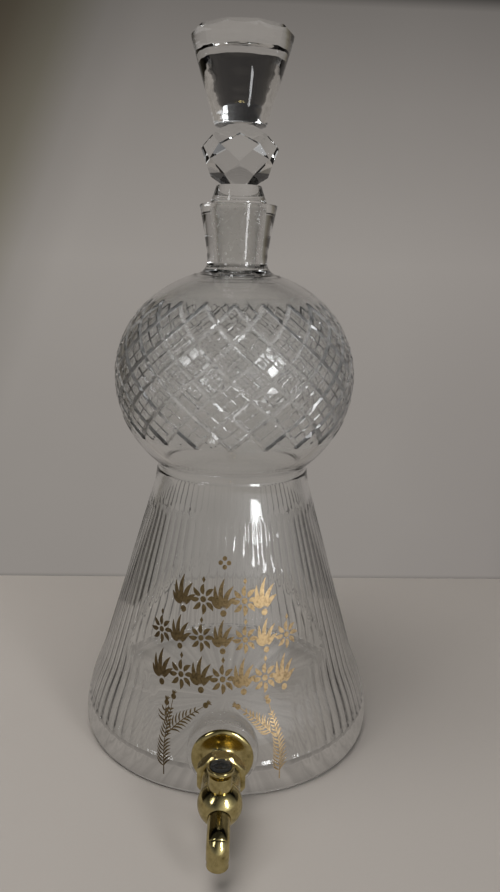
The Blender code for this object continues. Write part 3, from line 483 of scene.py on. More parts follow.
def stitch_band(faces, upper, lower, ring_row):
    """As stitch, but each quad is split along the nearer groove, so that grooves run straight."""
    half = BAND_STEPS / 2
    for column in range(COLUMNS):
        a, b = upper[column], upper[(column + 1) % COLUMNS]
        c, d = lower[(column + 1) % COLUMNS], lower[column]
        falling = abs((column - ring_row + half) % BAND_STEPS - half)
        rising = abs((column + ring_row + 1 + half) % BAND_STEPS - half)
        faces += [(a, d, c), (a, c, b)] if falling <= rising else [(a, d, b), (d, c, b)]


def make_vessel_mesh():
    """The whole vessel as one closed skin: cut outside, flat rim, plain inside."""
    rows = outer_rows()
    foot_row = len(rows) - 1
    rows += [(*row, INNER_COLUMNS) for row in inner_rows()]
    verts, rings = [], []
    for radius, height, columns in rows:
        angle = 2 * pi * np.arange(columns) / columns
        angle = np.where(angle > pi, angle - 2 * pi, angle)
        z, r = np.full(columns, height), np.full(columns, radius)
        if columns == COLUMNS and height > WAIST_HEIGHT:
            r = r - np.maximum(mitre_depth(angle, z), pane_depth(angle, z))
        elif columns == COLUMNS:
            r = r - flute_depth(angle, z)
        rings.append(list(range(len(verts), len(verts) + columns)))
        verts += list(zip(r * np.sin(angle), -r * np.cos(angle), z))
    faces = []
    for index, (upper, lower) in enumerate(zip(rings, rings[1:])):
        if index == foot_row:
            continue
        height = rows[index][1]
        if len(upper) == len(lower) == COLUMNS and height > WAIST_HEIGHT:
            stitch_band(faces, upper, lower, round((BAND_TOP - height) / BAND_STEP))
        else:
            stitch(faces, upper, lower)
    stitch(faces, rings[-1], rings[0])
    faces.append(tuple(reversed(rings[foot_row])))
    faces.append(tuple(rings[foot_row + 1]))
    return add_mesh("cut_glass_vessel", verts, faces)


def make_hollow():
    """The lower part of the vessel's inside as a solid, grown a little."""
    rows = [row for row in inner_rows() if row[1] < HOLLOW_TOP]
    grown = [(0, rows[0][1] - HOLLOW_GROWTH)]
    grown += [tuple(Vector(row) + Vector((along.y, -along.x)) * HOLLOW_GROWTH)
              for row, along in list(zip(rows, headings(rows)))[1:-1]]
    grown.append((0, grown[-1][1]))
    return turned("hollow", grown[::-1], PLAIN_COLUMNS)


def tap_face():
    """Where the tap's axis meets the boss's front face."""
    centre = centre_of("tap_bush")
    return Vector((centre.x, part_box("tap_bush")[0].y - CLEARANCE, centre.z))


def on_tap():
    """Lays a piece turned round Z along the tap's axis, its zero on the boss's face."""
    return Matrix.Translation(tap_face()) @ Matrix.Rotation(radians(90), 4, "X")


def make_vessel():
    """The vessel's skin with the boss joined to it and the tap's hole drilled."""
    vessel = make_vessel_mesh()
    profile = rounded([(0, 0), (BOSS_RADIUS, 0), (BOSS_RADIUS, -BOSS_THICKNESS),
                       (0, -BOSS_THICKNESS)], BOSS_EDGE, 4)
    boss = turned("boss", profile, 96, on_tap())
    combine(boss, make_hollow())
    combine(vessel, boss, "UNION")
    hole = rod("hole", BUSH_HOLE, DRILL_PAST, -BOSS_THICKNESS - DRILL_PAST, 64, on_tap())
    combine(vessel, hole)
    return vessel


def grind(piece):
    """Choose each face's material: matt where stopper and neck meet and in the tap's hole, cut in
    the grooves between the diamonds, and others under the foot and on the finial."""
    plug_foot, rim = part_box("stopper")[0].z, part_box("glass_vessel")[1].z
    tap = tap_face()
    for face in piece.data.polygons:
        centre = face.center
        out = hypot(centre.x, centre.y)
        in_neck = plug_foot - THROAT_RUN < centre.z < rim and out < THROAT_REACH
        in_hole = (hypot(centre.x - tap.x, centre.z - tap.z) < BUSH_HOLE + GRIND_PAST
                   and centre.y < tap.y + BOSS_THICKNESS + GRIND_END)
        if in_neck and abs(face.normal.z) < LEVEL or in_hole:
            face.material_index = GROUND
        elif BAND_FOOT - BAND_EDGE < centre.z < BAND_TOP + BAND_EDGE and out > NECK_REACH:
            groove = float(bulb_radius(centre.z)) - out > MITRE_DEPTH * GROOVE_SHARE
            face.material_index = CUT if groove else 0
        elif centre.z < 0.0001:
            face.material_index = UNDER
        elif centre.z > KNOP_FOOT + KNOP_HEIGHT - 0.001:
            face.material_index = WAVY


# Stopper

PLUG_TOP_RADIUS = 0.0130
PLUG_FOOT_RADIUS = 0.0108
LEDGE_RADIUS = 0.0199
LEDGE_THICKNESS = 0.0014
FLARE_SPREAD = 0.0039           # how far the collar spreads, and over what height
FLARE_RISE = 0.0095
COLLAR_RADIUS = 0.0160
KNOP_RADIUS = 0.0252
KNOP_FOOT = 0.4105
KNOP_HEIGHT = 0.0400
KNOP_SIDES = 6
# Each row of facets: elevation in degrees, distance as a share of the radius, steps turned on.
KNOP_ROWS = ((13, 0.96, 0), (-20, 0.94, 0.5), (50, 0.86, 0.5), (-54, 0.85, 0))
FINIAL_FOOT_RADIUS = 0.0180
FINIAL_TOP_RADIUS = 0.0354
FINIAL_EDGE = 0.0022
FINIAL_ROUNDING = 0.0016
SCALLOP_COUNT = 10
SCALLOP_DEPTH = 0.0028
STOPPER_STEPS = 120


def make_knop():
    """The ball under the finial, cut into flat facets."""
    middle = UP * (KNOP_FOOT + KNOP_HEIGHT / 2)
    thing = add_mesh("knop", [], [])
    with open_mesh(thing) as work:
        bmesh.ops.create_cube(work, size=4 * KNOP_RADIUS)
        bmesh.ops.translate(work, vec=middle, verts=work.verts)
        for elevation, share, shifted in KNOP_ROWS:
            tilt = radians(elevation)
            for x, y in circle(KNOP_SIDES, shifted):
                normal = Vector((y * cos(tilt), -x * cos(tilt), sin(tilt)))
                slice_off(work, middle + normal * KNOP_RADIUS * share, normal)
        for up in (1, -1):
            slice_off(work, middle + UP * up * KNOP_HEIGHT / 2, UP * up)
    return thing


def make_finial():
    """The spreading top of the stopper, its upper edge cut in shallow scallops."""
    foot, top = KNOP_FOOT + KNOP_HEIGHT - CLEARANCE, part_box("stopper")[1].z
    profile = rounded([(0, top), (FINIAL_TOP_RADIUS, top),
                       (FINIAL_TOP_RADIUS - FINIAL_EDGE / 2, top - 3 * FINIAL_EDGE),
                       (FINIAL_FOOT_RADIUS, foot), (0, foot)], FINIAL_ROUNDING, 4)
    finial = turned("finial", profile, STOPPER_STEPS)
    with open_mesh(finial) as work:
        for x, y in circle(SCALLOP_COUNT):
            out = Vector((y, -x, 0))
            normal = (out + UP).normalized()
            edge = out * FINIAL_TOP_RADIUS + UP * top
            slice_off(work, edge - normal * SCALLOP_DEPTH, normal)
    return finial


def make_stopper():
    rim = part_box("glass_vessel")[1].z
    foot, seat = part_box("stopper")[0].z, rim + CLEARANCE
    collar = seat + LEDGE_THICKNESS
    flare = [(COLLAR_RADIUS + FLARE_SPREAD * (1 - cos(turn)), collar + FLARE_RISE * (1 - sin(turn)))
             for turn in quarter(12)[::-1]]
    profile = [(0, KNOP_FOOT + CLEARANCE), (COLLAR_RADIUS, KNOP_FOOT + CLEARANCE), *flare,
               (LEDGE_RADIUS, collar), (LEDGE_RADIUS, seat),
               (PLUG_TOP_RADIUS, seat), (PLUG_FOOT_RADIUS, foot), (0, foot)]
    stopper = turned("cut_glass_stopper", profile, STOPPER_STEPS)
    combine(stopper, make_knop(), "UNION")
    combine(stopper, make_finial(), "UNION")
    return stopper


# Tap

TAP_STEPS = 96
FLANGE_RADIUS = 0.0211
FLANGE_RIM = 0.0036             # width of the rim's rounding
FLANGE_CROWN = 0.0024
FLANGE_NECK = 0.0068
FLANGE_EDGE = 0.0006
SHANK_HOLE = 0.0055
COLLAR_FLATS = 0.0312
COLLAR_CORNER = 0.0018
COLLAR_BEVEL = 0.0004
COLLAR_ROUNDING = 0.0005
BALL_RADIUS = 0.01405
BARREL_RADIUS = 0.0126
BARREL_FLANGE = 0.0133
BARREL_LENGTH = 0.0146
BARREL_EDGE = 0.0003
CHAMBER_TOP = 0.0062            # radius where the bonnet screws in, then of the bore below it
CHAMBER_BORE = 0.0055
CHAMBER_STEP = -0.0105
CHAMBER_FOOT = -0.018
INLET_RADIUS = 0.0022
INLET_DEPTH = 0.0083
BONNET_SEAT = 0.0115
BONNET_RADIUS = 0.0073
PLUNGER_RADIUS = 0.0048
PLUNGER_FOOT = 0.0160
STEM_RADIUS = 0.0020
BONNET_THREAD = 0.0059
BONNET_EDGE = 0.0005
BONNET_FLOOR = 0.0018
BUTTON_RADIUS = 0.0085
BUTTON_ROUNDING = 0.0010
INLAY_DOME = 0.0005
PIPE_RADIUS = 0.00695
PIPE_BORE = 0.0042
PIPE_START = 0.0105
PIPE_REACH = 0.0299
PIPE_DROOP = radians(8)
ELBOW_RADIUS = 0.0080
PIPE_TAIL = 0.002
ELBOW_STEPS = 48
SEAM_POINT = 19                 # counted along the pipe's line, in the elbow's upper half
SEAM_DEPTH = 0.00022
SPRING_RADIUS = 0.0037
SPRING_WIRE = 0.00035
SPRING_TURNS = 4
SPRING_TURN_STEPS = 24
NOZZLE_RADIUS = 0.0064
NOZZLE_EDGE = 0.0002
NOZZLE_LIP_RADIUS = 0.0067
NOZZLE_LIP_HEIGHT = 0.0010
NOZZLE_LIP_EDGE = 0.0004


def ball_centre():
    centre = centre_of("bonnet")
    return Vector((centre.x, centre.y, tap_face().z))


def from_ball():
    return Matrix.Translation(ball_centre())


def ball_span(node):
    """How far over the ball's centre a node starts and ends."""
    low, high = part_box(node)
    return low.z - ball_centre().z, high.z - ball_centre().z


def tap_span(node):
    """How far in front of the boss's face a node starts and ends."""
    low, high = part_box(node)
    return tap_face().y - high.y, tap_face().y - low.y


def make_flange():
    """A disc with a rounded rim, drawn out into a short neck at its middle."""
    back, front = tap_span("tap_flange")
    crown = back + FLANGE_CROWN
    profile = [(SHANK_HOLE, front), (FLANGE_NECK, front)]
    for turn in np.linspace(0.04, pi / 2, 30):
        profile.append((lerp(FLANGE_RADIUS - FLANGE_RIM, FLANGE_NECK, cos(turn)),
                        lerp(front, crown, sin(turn) ** 0.42)))
    profile += [(FLANGE_RADIUS - FLANGE_RIM * (1 - sin(turn)),
                 back + FLANGE_CROWN * cos(turn)) for turn in quarter(14)[1:]]
    profile += [(FLANGE_RADIUS - FLANGE_EDGE, back), (SHANK_HOLE, back)]
    return turned("flange", profile, TAP_STEPS, on_tap(), closed=True)


def make_collar_nut():
    back, front = tap_span("collar_nut")
    corner = COLLAR_FLATS / 2 / cos(pi / 8)
    nut = add_mesh("collar", [], [])
    with open_mesh(nut) as work:
        bmesh.ops.create_cone(work, cap_ends=True, segments=8, radius1=corner, radius2=corner,
                              depth=front - back)
        place = Matrix.Translation((0, 0, (back + front) / 2)) @ Matrix.Rotation(
            pi / 8 + pi / 2, 4, "Z")
        bmesh.ops.transform(work, matrix=place, verts=work.verts)
        bmesh.ops.bevel(work, geom=work.edges[:], offset=COLLAR_BEVEL, segments=3, profile=0.5,
                        affect="EDGES")
    face = corner - COLLAR_CORNER
    cut = 2 * COLLAR_CORNER
    profile = rounded([(0, front), (face, front), (corner + COLLAR_CORNER, front - cut),
                       (corner + COLLAR_CORNER, back + cut), (face, back), (0, back)],
                      COLLAR_ROUNDING, 4)
    combine(nut, turned("turning", profile, TAP_STEPS), "INTERSECT")
    combine(nut, rod("drill", SHANK_HOLE, front + CUT_PAST, back - CUT_PAST, 48))
    nut.data.transform(on_tap())
    return nut


def spout_line(start, drop, steps=24):
    """Centre line: out of the ball with a little droop, round the elbow and straight down."""
    ball = ball_centre()
    along = Vector((0, -cos(PIPE_DROOP), -sin(PIPE_DROOP)))
    straight = (PIPE_REACH - ELBOW_RADIUS * (1 - sin(PIPE_DROOP))) / cos(PIPE_DROOP)
    centre = ball + along * straight
    centre += Vector((0, sin(PIPE_DROOP), -cos(PIPE_DROOP))) * ELBOW_RADIUS
    points = [ball + along * start]
    for step in range(steps + 1):
        angle = (pi / 2 - PIPE_DROOP) * (1 - step / steps)
        points.append(centre + Vector((0, -cos(angle), sin(angle))) * ELBOW_RADIUS)
    points.append(points[-1] - UP * drop)
    return points


def sweep(name, points, radii, steps, sides=None):
    """A closed bar along a line, with a radius at each point. A line that leaves the plane
    x = constant needs a direction across it for each point too."""
    verts, faces = [], []
    sides = sides or [Vector((1, 0, 0))] * len(points)
    for point, radius, side, along in zip(points, radii, sides, headings(points)):
        up = side.cross(along).normalized()
        verts += [point + (side * x + up * y) * radius for x, y in circle(steps)]
    for row in range(len(points) - 1):
        for step in range(steps):
            after = (step + 1) % steps
            a, b = row * steps + step, row * steps + after
            faces.append((a, b, b + steps, a + steps))
    faces.append(tuple(range(steps))[::-1])
    faces.append(tuple(range((len(points) - 1) * steps, len(points) * steps)))
    thing = add_mesh(name, verts, faces)
    with open_mesh(thing):
        pass
    return thing


def make_tap_body():
    ball = ball_centre()
    distance = tap_face().y - ball.y
    back, _ = tap_span("tap_body")
    profile = []
    arc = acos(BARREL_RADIUS / BALL_RADIUS)
    for angle in np.linspace(pi / 2, -arc * 0.9, 40):
        radius = BALL_RADIUS * cos(angle) if angle < pi / 2 - 1e-6 else 0
        profile.append((radius, distance + BALL_RADIUS * sin(angle)))
    profile += [(BARREL_RADIUS, back + BARREL_LENGTH * 0.88),
                (BARREL_RADIUS, back + BARREL_LENGTH * 0.4),
                (BARREL_FLANGE - BARREL_EDGE, back + 4 * BARREL_EDGE),
                (BARREL_FLANGE, back + 2 * BARREL_EDGE), (BARREL_FLANGE - BARREL_EDGE, back),
                (0, back)]
    body = turned("tap_casting", profile, TAP_STEPS, on_tap())
    with open_mesh(body) as work:
        slice_off(work, ball + UP * BONNET_SEAT, UP)
        slice_off(work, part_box("tap_body")[0], -UP)
    top = BONNET_SEAT + CUT_PAST
    chamber = [(0, top), (CHAMBER_TOP, top), (CHAMBER_TOP, CHAMBER_STEP),
               (CHAMBER_BORE, CHAMBER_STEP), (CHAMBER_BORE, CHAMBER_FOOT), (0, CHAMBER_FOOT)]
    combine(body, turned("chamber", chamber, 48, from_ball()))
    start, bend = spout_line(PIPE_START, 0, 4)[:2]
    combine(body, sweep("socket", [start, bend + (bend - start)], [PIPE_RADIUS + CLEARANCE] * 2,
                        64))
    step = distance - INLET_DEPTH
    inlet = [(0, distance), (INLET_RADIUS, distance), (INLET_RADIUS, step), (SHANK_HOLE, step),
             (SHANK_HOLE, back - CUT_PAST), (0, back - CUT_PAST)]
    combine(body, turned("inlet", inlet, 48, on_tap()))
    return body


def make_spout_pipe():
    """The drooping pipe, with the fine seam where its elbow is soldered together."""
    line = spout_line(PIPE_START, PIPE_TAIL, ELBOW_STEPS)
    radii = [PIPE_RADIUS] * len(line)
    radii[SEAM_POINT] -= SEAM_DEPTH
    pipe = sweep("spout_bend", line, radii, 64)
    through = spout_line(PIPE_START - CUT_PAST, PIPE_TAIL + CUT_PAST)
    combine(pipe, sweep("bore", through, [PIPE_BORE] * len(through), 48))
    return pipe


def make_nozzle():
    foot, top = (corner.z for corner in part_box("spout_nozzle"))
    profile = [(PIPE_BORE, top), (NOZZLE_RADIUS - NOZZLE_EDGE, top),
               (NOZZLE_RADIUS, top - NOZZLE_EDGE), (NOZZLE_RADIUS, foot + 2 * NOZZLE_LIP_HEIGHT),
               (NOZZLE_LIP_RADIUS, foot + NOZZLE_LIP_HEIGHT),
               (NOZZLE_LIP_RADIUS, foot + NOZZLE_LIP_EDGE),
               (NOZZLE_LIP_RADIUS - NOZZLE_LIP_EDGE, foot), (PIPE_BORE, foot)]
    place = Matrix.Translation(centre_of("spout_nozzle") * Vector((1, 1, 0)))
    return turned("spout_end", profile, TAP_STEPS, place, closed=True)


def make_bonnet():
    foot, top = ball_span("bonnet")
    seat, floor = BONNET_SEAT + CLEARANCE, foot + BONNET_FLOOR
    bore, stem, edge = PLUNGER_RADIUS + CLEARANCE, STEM_RADIUS + CLEARANCE, BONNET_EDGE
    profile = [(bore, top), (BONNET_RADIUS - edge, top),
               (BONNET_RADIUS - edge * 0.3, top - edge * 0.3), (BONNET_RADIUS, top - edge),
               (BONNET_RADIUS, seat), (BONNET_THREAD, seat), (BONNET_THREAD, foot), (stem, foot),
               (stem, floor), (bore, floor)]
    return turned("bonnet_sleeve", profile, TAP_STEPS, from_ball(), closed=True)


def make_stem():
    foot, top = ball_span("valve_stem")
    profile = [(0, top), (PLUNGER_RADIUS, top), (PLUNGER_RADIUS, PLUNGER_FOOT),
               (STEM_RADIUS, PLUNGER_FOOT), (STEM_RADIUS, foot), (0, foot)]
    return turned("plunger", rounded(profile, 0.0002, 2), 64, from_ball())


def make_spring():
    """The coil under the plunger, which shortens as the button is pressed."""
    low, high = (corner.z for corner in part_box("return_spring"))
    foot = centre_of("return_spring")
    foot.z = low + SPRING_WIRE
    rise = high - low - 2 * SPRING_WIRE
    count = SPRING_TURNS * SPRING_TURN_STEPS
    sides = [Vector((x, y, 0)) for x, y in circle(SPRING_TURN_STEPS)] * SPRING_TURNS
    sides.append(sides[0])
    points = [foot + side * SPRING_RADIUS + UP * rise * step / count
              for step, side in enumerate(sides)]
    spring = sweep("coil_spring", points, [SPRING_WIRE] * len(points), 12, sides)
    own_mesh(spring)
    return spring


def make_button():
    """The cup of the button: rounded outside, with a recess for its inlay."""
    foot, top = ball_span("push_button")
    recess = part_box("button_inlay")[1].x - ball_centre().x + CLEARANCE
    floor = ball_span("button_inlay")[0] - CLEARANCE
    outer = rounded([(0, foot), (BUTTON_RADIUS, foot), (BUTTON_RADIUS, top), (recess, top)],
                    BUTTON_ROUNDING, 5)
    profile = [(0, floor), (recess, floor), (recess, top - 0.0003), (recess + 0.0002, top),
               *outer[-2::-1]]
    return turned("cup", profile, TAP_STEPS, from_ball())


def make_inlay():
    """Black disc in the button, slightly domed."""
    foot, top = ball_span("button_inlay")
    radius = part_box("button_inlay")[1].x - ball_centre().x
    profile = [(0, top)]
    profile += [(radius * share, top - INLAY_DOME * share ** 5) for share in np.linspace(0.1, 1, 22)]
    profile += [(radius, foot), (0, foot)]
    return turned("black_inlay", profile, TAP_STEPS, from_ball())


# Gilding on the front panel

GILT_LIFT = 0.00006             # off the glass, so that the two never lie in one place
GILT_THICKNESS = 0.00010

# In millimetres round the panel and up: left, right, foot, size, count, and which motif is first
GILT_ROWS = ((-38.5, 34.0, 119.5, 26.0, 5), (-56.0, 52.0, 95.0, 23.5, 7, 1),
             (-53.5, 50.5, 68.5, 25.0, 7))
# Foot, tip, how far the stem bows to the side, pairs of leaves
GILT_SPRAYS = (((-41.5, 11.8), (-36.5, 62), -2.5, 15), ((-40.0, 40), (-14.0, 60.5), -2.0, 8),
               ((-40.6, 46), (-41.5, 57), -1.2, 3), ((40.5, 11.8), (31.5, 62), 3.5, 16),
               ((35.5, 42), (11.0, 60.5), 2.0, 9))
DOTS_CENTRE = Vector((-2.3, 155.5))
DOTS_APART = 2.9


class Ornament:
    """Flat strokes in a plane, in millimetres, that are later laid on the skirt."""

    def __init__(self):
        self.verts, self.faces = [], []

    def ribbon(self, points, widths):
        """A stroke along points, as wide as widths says at each."""
        start = len(self.verts)
        for point, width, along in zip(points, widths, headings(points)):
            side = Vector((-along.y, along.x)) * width / 2
            self.verts += [Vector(point) + side, Vector(point) - side]
        for index in range(len(points) - 1):
            a = start + 2 * index
            self.faces.append((a, a + 1, a + 3, a + 2))

    def leaf(self, foot, angle, length, width):
        along = Vector((cos(angle), sin(angle)))
        bend = Vector((-along.y, along.x)) * length * 0.12
        shares = np.linspace(0, 1, 9)
        self.ribbon([Vector(foot) + along * length * share + bend * sin(pi * share)
                     for share in shares],
                    [width * max(0.05, sin(pi * share ** 0.8)) ** 0.8 for share in shares])

    def dot(self, centre, radius, sides=14):
        start = len(self.verts)
        self.verts += [Vector(centre) + Vector(way) * radius for way in circle(sides)]
        self.faces.append(tuple(range(start, start + sides)))

    def lozenge(self, centre, width, height):
        start, centre = len(self.verts), Vector(centre)
        self.verts += [centre + Vector(corner) for corner in
                       ((0, height / 2), (-width / 2, 0), (0, -height / 2), (width / 2, 0))]
        self.faces.append((start, start + 1, start + 2, start + 3))


def spline(points, steps):
    """Catmull-Rom line through points in a plane."""
    ends = [Vector(point) for point in points]
    ends = [2 * ends[0] - ends[1], *ends, 2 * ends[-1] - ends[-2]]
    line = []
    for before, start, end, after in zip(ends, ends[1:], ends[2:], ends[3:]):
        for share in np.linspace(0, 1, steps, endpoint=False):
            line.append(0.5 * (2 * start + (end - before) * share
                               + (2 * before - 5 * start + 4 * end - after) * share ** 2
                               + (3 * start - before - 3 * end + after) * share ** 3))
    line.append(ends[-2])
    return line


def palmette(ornament, centre, foot, size):
    """A fan of leaves over a bead."""
    for lean, length in ((0, 0.84), (0.36, 0.70), (0.74, 0.50)):
        for side in ((1, -1) if lean else (1,)):
            angle = pi / 2 + side * lean
            start = (centre + 0.10 * size * cos(angle),
                     foot + 0.14 * size + 0.10 * size * sin(angle))
            ornament.leaf(start, angle, size * (length - 0.10), size * 0.13)
    ornament.dot((centre, foot + size * 0.10), size * 0.085)


def rosette(ornament, centre, middle, size, petals=8):
    """A round flower of separate petals."""
    for petal in range(petals):
        angle = 2 * pi * petal / petals + pi / 2
        start = (centre + 0.12 * size * cos(angle), middle + 0.12 * size * sin(angle))
        ornament.leaf(start, angle, size * 0.27, size * 0.125)
    ornament.dot((centre, middle), size * 0.08)


def frieze(ornament, left, right, foot, size, motifs, first=0):
    """Palmettes and rosettes in turn, with a lozenge over each rosette."""
    pitch = (right - left) / motifs
    for index in range(motifs):
        centre = left + pitch * (index + 0.5)
        if (index + first) % 2 == 0:
            palmette(ornament, centre, foot, size)
            continue
        rosette(ornament, centre, foot + size * 0.42, size)
        ornament.lozenge((centre, foot + size * 0.92), size * 0.10, size * 0.18)


def spray(ornament, foot, top, lean, pairs):
    """A leafy spray: a curved stem, paired leaves that shrink upwards, and a bud on its tip."""
    foot, top = Vector(foot), Vector(top)
    line = spline([foot, foot.lerp(top, 0.5) + Vector((lean, 0)), top], 20)
    ornament.ribbon(line, [lerp(0.8, 0.4, index / len(line)) for index in range(len(line))])
    for pair in range(pairs):
        share = 0.14 + 0.80 * pair / pairs
        index = int(share * (len(line) - 2))
        along = line[index + 1] - line[index]
        angle = atan2(along.y, along.x)
        size = 8.4 * (1 - 0.45 * share) * (0.8 + 0.2 * sin(5 * share))
        for side in (1, -1):
            ornament.leaf(line[index], angle + side * 0.80, size, 1.15)
    along = (line[-1] - line[-2]).normalized()
    ornament.dot(line[-1] + along * 1.6, 1.9)
    for turn in (-0.6, -0.2, 0.2, 0.6):
        angle = atan2(along.y, along.x) + turn
        ornament.leaf(line[-1] + along * 2.8, angle, 3.4, 0.9)


def make_gilding():
    """A generic gilt ornament: a quatrefoil, three bands and leafy sprays. The plane's x runs
    round the panel, in millimetres at each height's own radius; its y is the height."""
    ornament = Ornament()
    for way in circle(4):
        ornament.dot(DOTS_CENTRE + Vector(way) * DOTS_APART, 1.6)
    for row in GILT_ROWS:
        frieze(ornament, *row)
    for row in GILT_SPRAYS:
        spray(ornament, *row)
    verts = []
    for flat in ornament.verts:
        height = flat.y / 1000
        radius = float(skirt_radius(height)) + GILT_LIFT
        angle = flat.x / 1000 / radius
        verts.append((radius * sin(angle), -radius * cos(angle), height))
    gilding = add_mesh("gilt_ornament", verts, ornament.faces)
    solid = gilding.modifiers.new("thickness", "SOLIDIFY")
    solid.thickness = GILT_THICKNESS
    solid.offset = 1
    return settle(gilding)


# Materials

def node(tree, kind, inputs=(), out=0, **values):
    """The output of a new node. Its inputs are given by name or number: sockets to link, or
    values to set."""
    made = tree.nodes.new(kind)
    for name, value in values.items():
        setattr(made, name, value)
    for name, value in dict(inputs).items():
        if isinstance(value, bpy.types.NodeSocket):
            tree.links.new(value, made.inputs[name])
        else:
            made.inputs[name].default_value = value
    return made.outputs[out]


def here(tree):
    """A point's place in its piece's own metres."""
    return node(tree, "ShaderNodeTexCoord", out="Object")


def axis_value(tree, axis):
    return node(tree, "ShaderNodeSeparateXYZ", {"Vector": here(tree)}, axis)


def noise(tree, scale, detail=3.0, roughness=0.5, stretch=(1, 1, 1)):
    place = node(tree, "ShaderNodeMapping", {"Vector": here(tree), "Scale": stretch})
    return node(tree, "ShaderNodeTexNoise", {"Vector": place, "Scale": scale, "Detail": detail,
                                             "Roughness": roughness})


def ramp(tree, value, stops):
    """Colours or greys along a value: (position, colour) stops."""
    colours = node(tree, "ShaderNodeValToRGB", {"Fac": value}, "Color")
    elements = colours.node.color_ramp.elements
    while len(elements) < len(stops):
        elements.new(0.5)
    for element, (position, colour) in zip(elements, stops):
        element.position = position
        element.color = (*colour, 1) if isinstance(colour, tuple) else (colour, colour, colour, 1)
    return colours


def spread(tree, value, low, high, start=0.0, end=1.0, clamp=True):
    """Map a value from the range start to end onto the range low to high."""
    return node(tree, "ShaderNodeMapRange", {"Value": value, "From Min": start, "From Max": end,
                                             "To Min": low, "To Max": high}, clamp=clamp)


def mixed(tree, first, second, how="MULTIPLY"):
    return node(tree, "ShaderNodeMix", {"Factor": 1.0, "A": first, "B": second}, "Result",
                data_type="RGBA", blend_type=how)


def surface(name, colour, spreads=(), wave=None, values=()):
    """A node material. colour is a function of the tree, or noise and its colour stops; spreads
    gives shader inputs noise and a range; wave is noise and the depth of a bump."""
    made = bpy.data.materials.new(name)
    made.use_nodes = True
    tree = made.node_tree
    inputs = tree.nodes["Principled BSDF"].inputs
    paint = colour(tree) if callable(colour) else ramp(tree, noise(tree, *colour[0]), colour[1])
    tree.links.new(paint, inputs["Base Color"])
    for socket, (grain, span) in dict(spreads).items():
        tree.links.new(spread(tree, noise(tree, *grain), *span), inputs[socket])
    if wave:
        grain, depth = wave
        bump = node(tree, "ShaderNodeBump", {"Distance": depth, "Height": noise(tree, *grain)})
        tree.links.new(bump, inputs["Normal"])
    for socket, value in dict(values).items():
        inputs[socket].default_value = value
    return made


def make_glass(name, wave):
    """Clear lead glass: a faint grey-green cast, faint waves and fine wear."""
    cast = [(0.3, (0.955, 0.965, 0.96)), (0.7, (0.985, 0.985, 0.98))]
    return surface(name, ((9, 2), cast), {"Roughness": ((160, 4, 0.6), (0.0, 0.012, 0.45, 0.75))},
                   wave, {"IOR": 1.52, "Transmission Weight": 1.0})


def make_ground_glass():
    """The matt, ground faces where stopper and neck meet. They nearly touch, so little light
    turns back between them, and the IOR is lower than that of the glass."""
    cast = [(0.3, (0.90, 0.90, 0.89)), (0.7, (0.95, 0.95, 0.94))]
    return surface("ground_glass", ((300, 3), cast), {"Roughness": ((500, 3), (0.24, 0.36, 0.3, 0.7))},
                   values={"IOR": 1.25, "Transmission Weight": 1.0})


def make_cut_glass():
    """The grooves between the diamonds: cut and acid-polished, so a little greyer and softer."""
    cast = [(0.3, (0.93, 0.94, 0.93)), (0.7, (0.985, 0.985, 0.98))]
    spreads = {"Roughness": ((420, 4, 0.6), (0.01, 0.07, 0.35, 0.75)),
               "Transmission Weight": ((150, 3), (0.86, 0.96, 0.3, 0.7))}
    return surface("cut_faces", ((60, 3), cast), spreads, ((200, 2), 0.00004), {"IOR": 1.52})


def make_foot_face():
    """The underside, so close to the table that light passes straight between the two."""
    cast = [(0.3, (0.90, 0.91, 0.90)), (0.7, (0.98, 0.98, 0.975))]
    return surface("foot_face", ((80, 4), cast), {"Roughness": ((300, 4), (0.05, 0.25, 0.35, 0.7))},
                   values={"IOR": 1.02, "Transmission Weight": 1.0})


def make_brass():
    """Handled brass: bright and golden where it is rubbed, olive and brown in dull spots."""
    dull = (190, 6, 0.62)
    stops = [(0.27, (0.27, 0.215, 0.085)), (0.40, (0.54, 0.445, 0.195)),
             (0.62, (0.69, 0.585, 0.285)), (0.80, (0.79, 0.680, 0.360))]
    return surface("brass", (dull, stops), {"Roughness": (dull, (0.30, 0.13, 0.28, 0.55))},
                   ((900, 4), 0.00001), {"Metallic": 1.0})


def gilt_colour(tree):
    """Old gilding: darker brown to the left, paler gold to the right, worn in specks."""
    across = spread(tree, axis_value(tree, "X"), 0, 1, -0.055, 0.055)
    base = ramp(tree, across, [(0.0, (0.115, 0.078, 0.036)), (0.40, (0.19, 0.135, 0.06)),
                               (0.62, (0.40, 0.285, 0.145)), (1.0, (0.58, 0.42, 0.24))])
    worn = ramp(tree, noise(tree, 520, 5, 0.7), [(0.34, (0.45, 0.42, 0.38)), (0.55, (1, 1, 1)),
                                                 (0.75, (1.0, 0.98, 0.94))])
    return mixed(tree, base, worn)


def make_matt(name, dark, light, rough):
    """A plain matt material with a fine mottle."""
    return surface(name, ((800, 5), [(0.3, dark), (0.7, light)]), {"Roughness": ((1500, 3), rough)})


# Set

TABLE_COLOUR = (0.347, 0.316, 0.286)
WALL_COLOUR = (0.292, 0.270, 0.250)
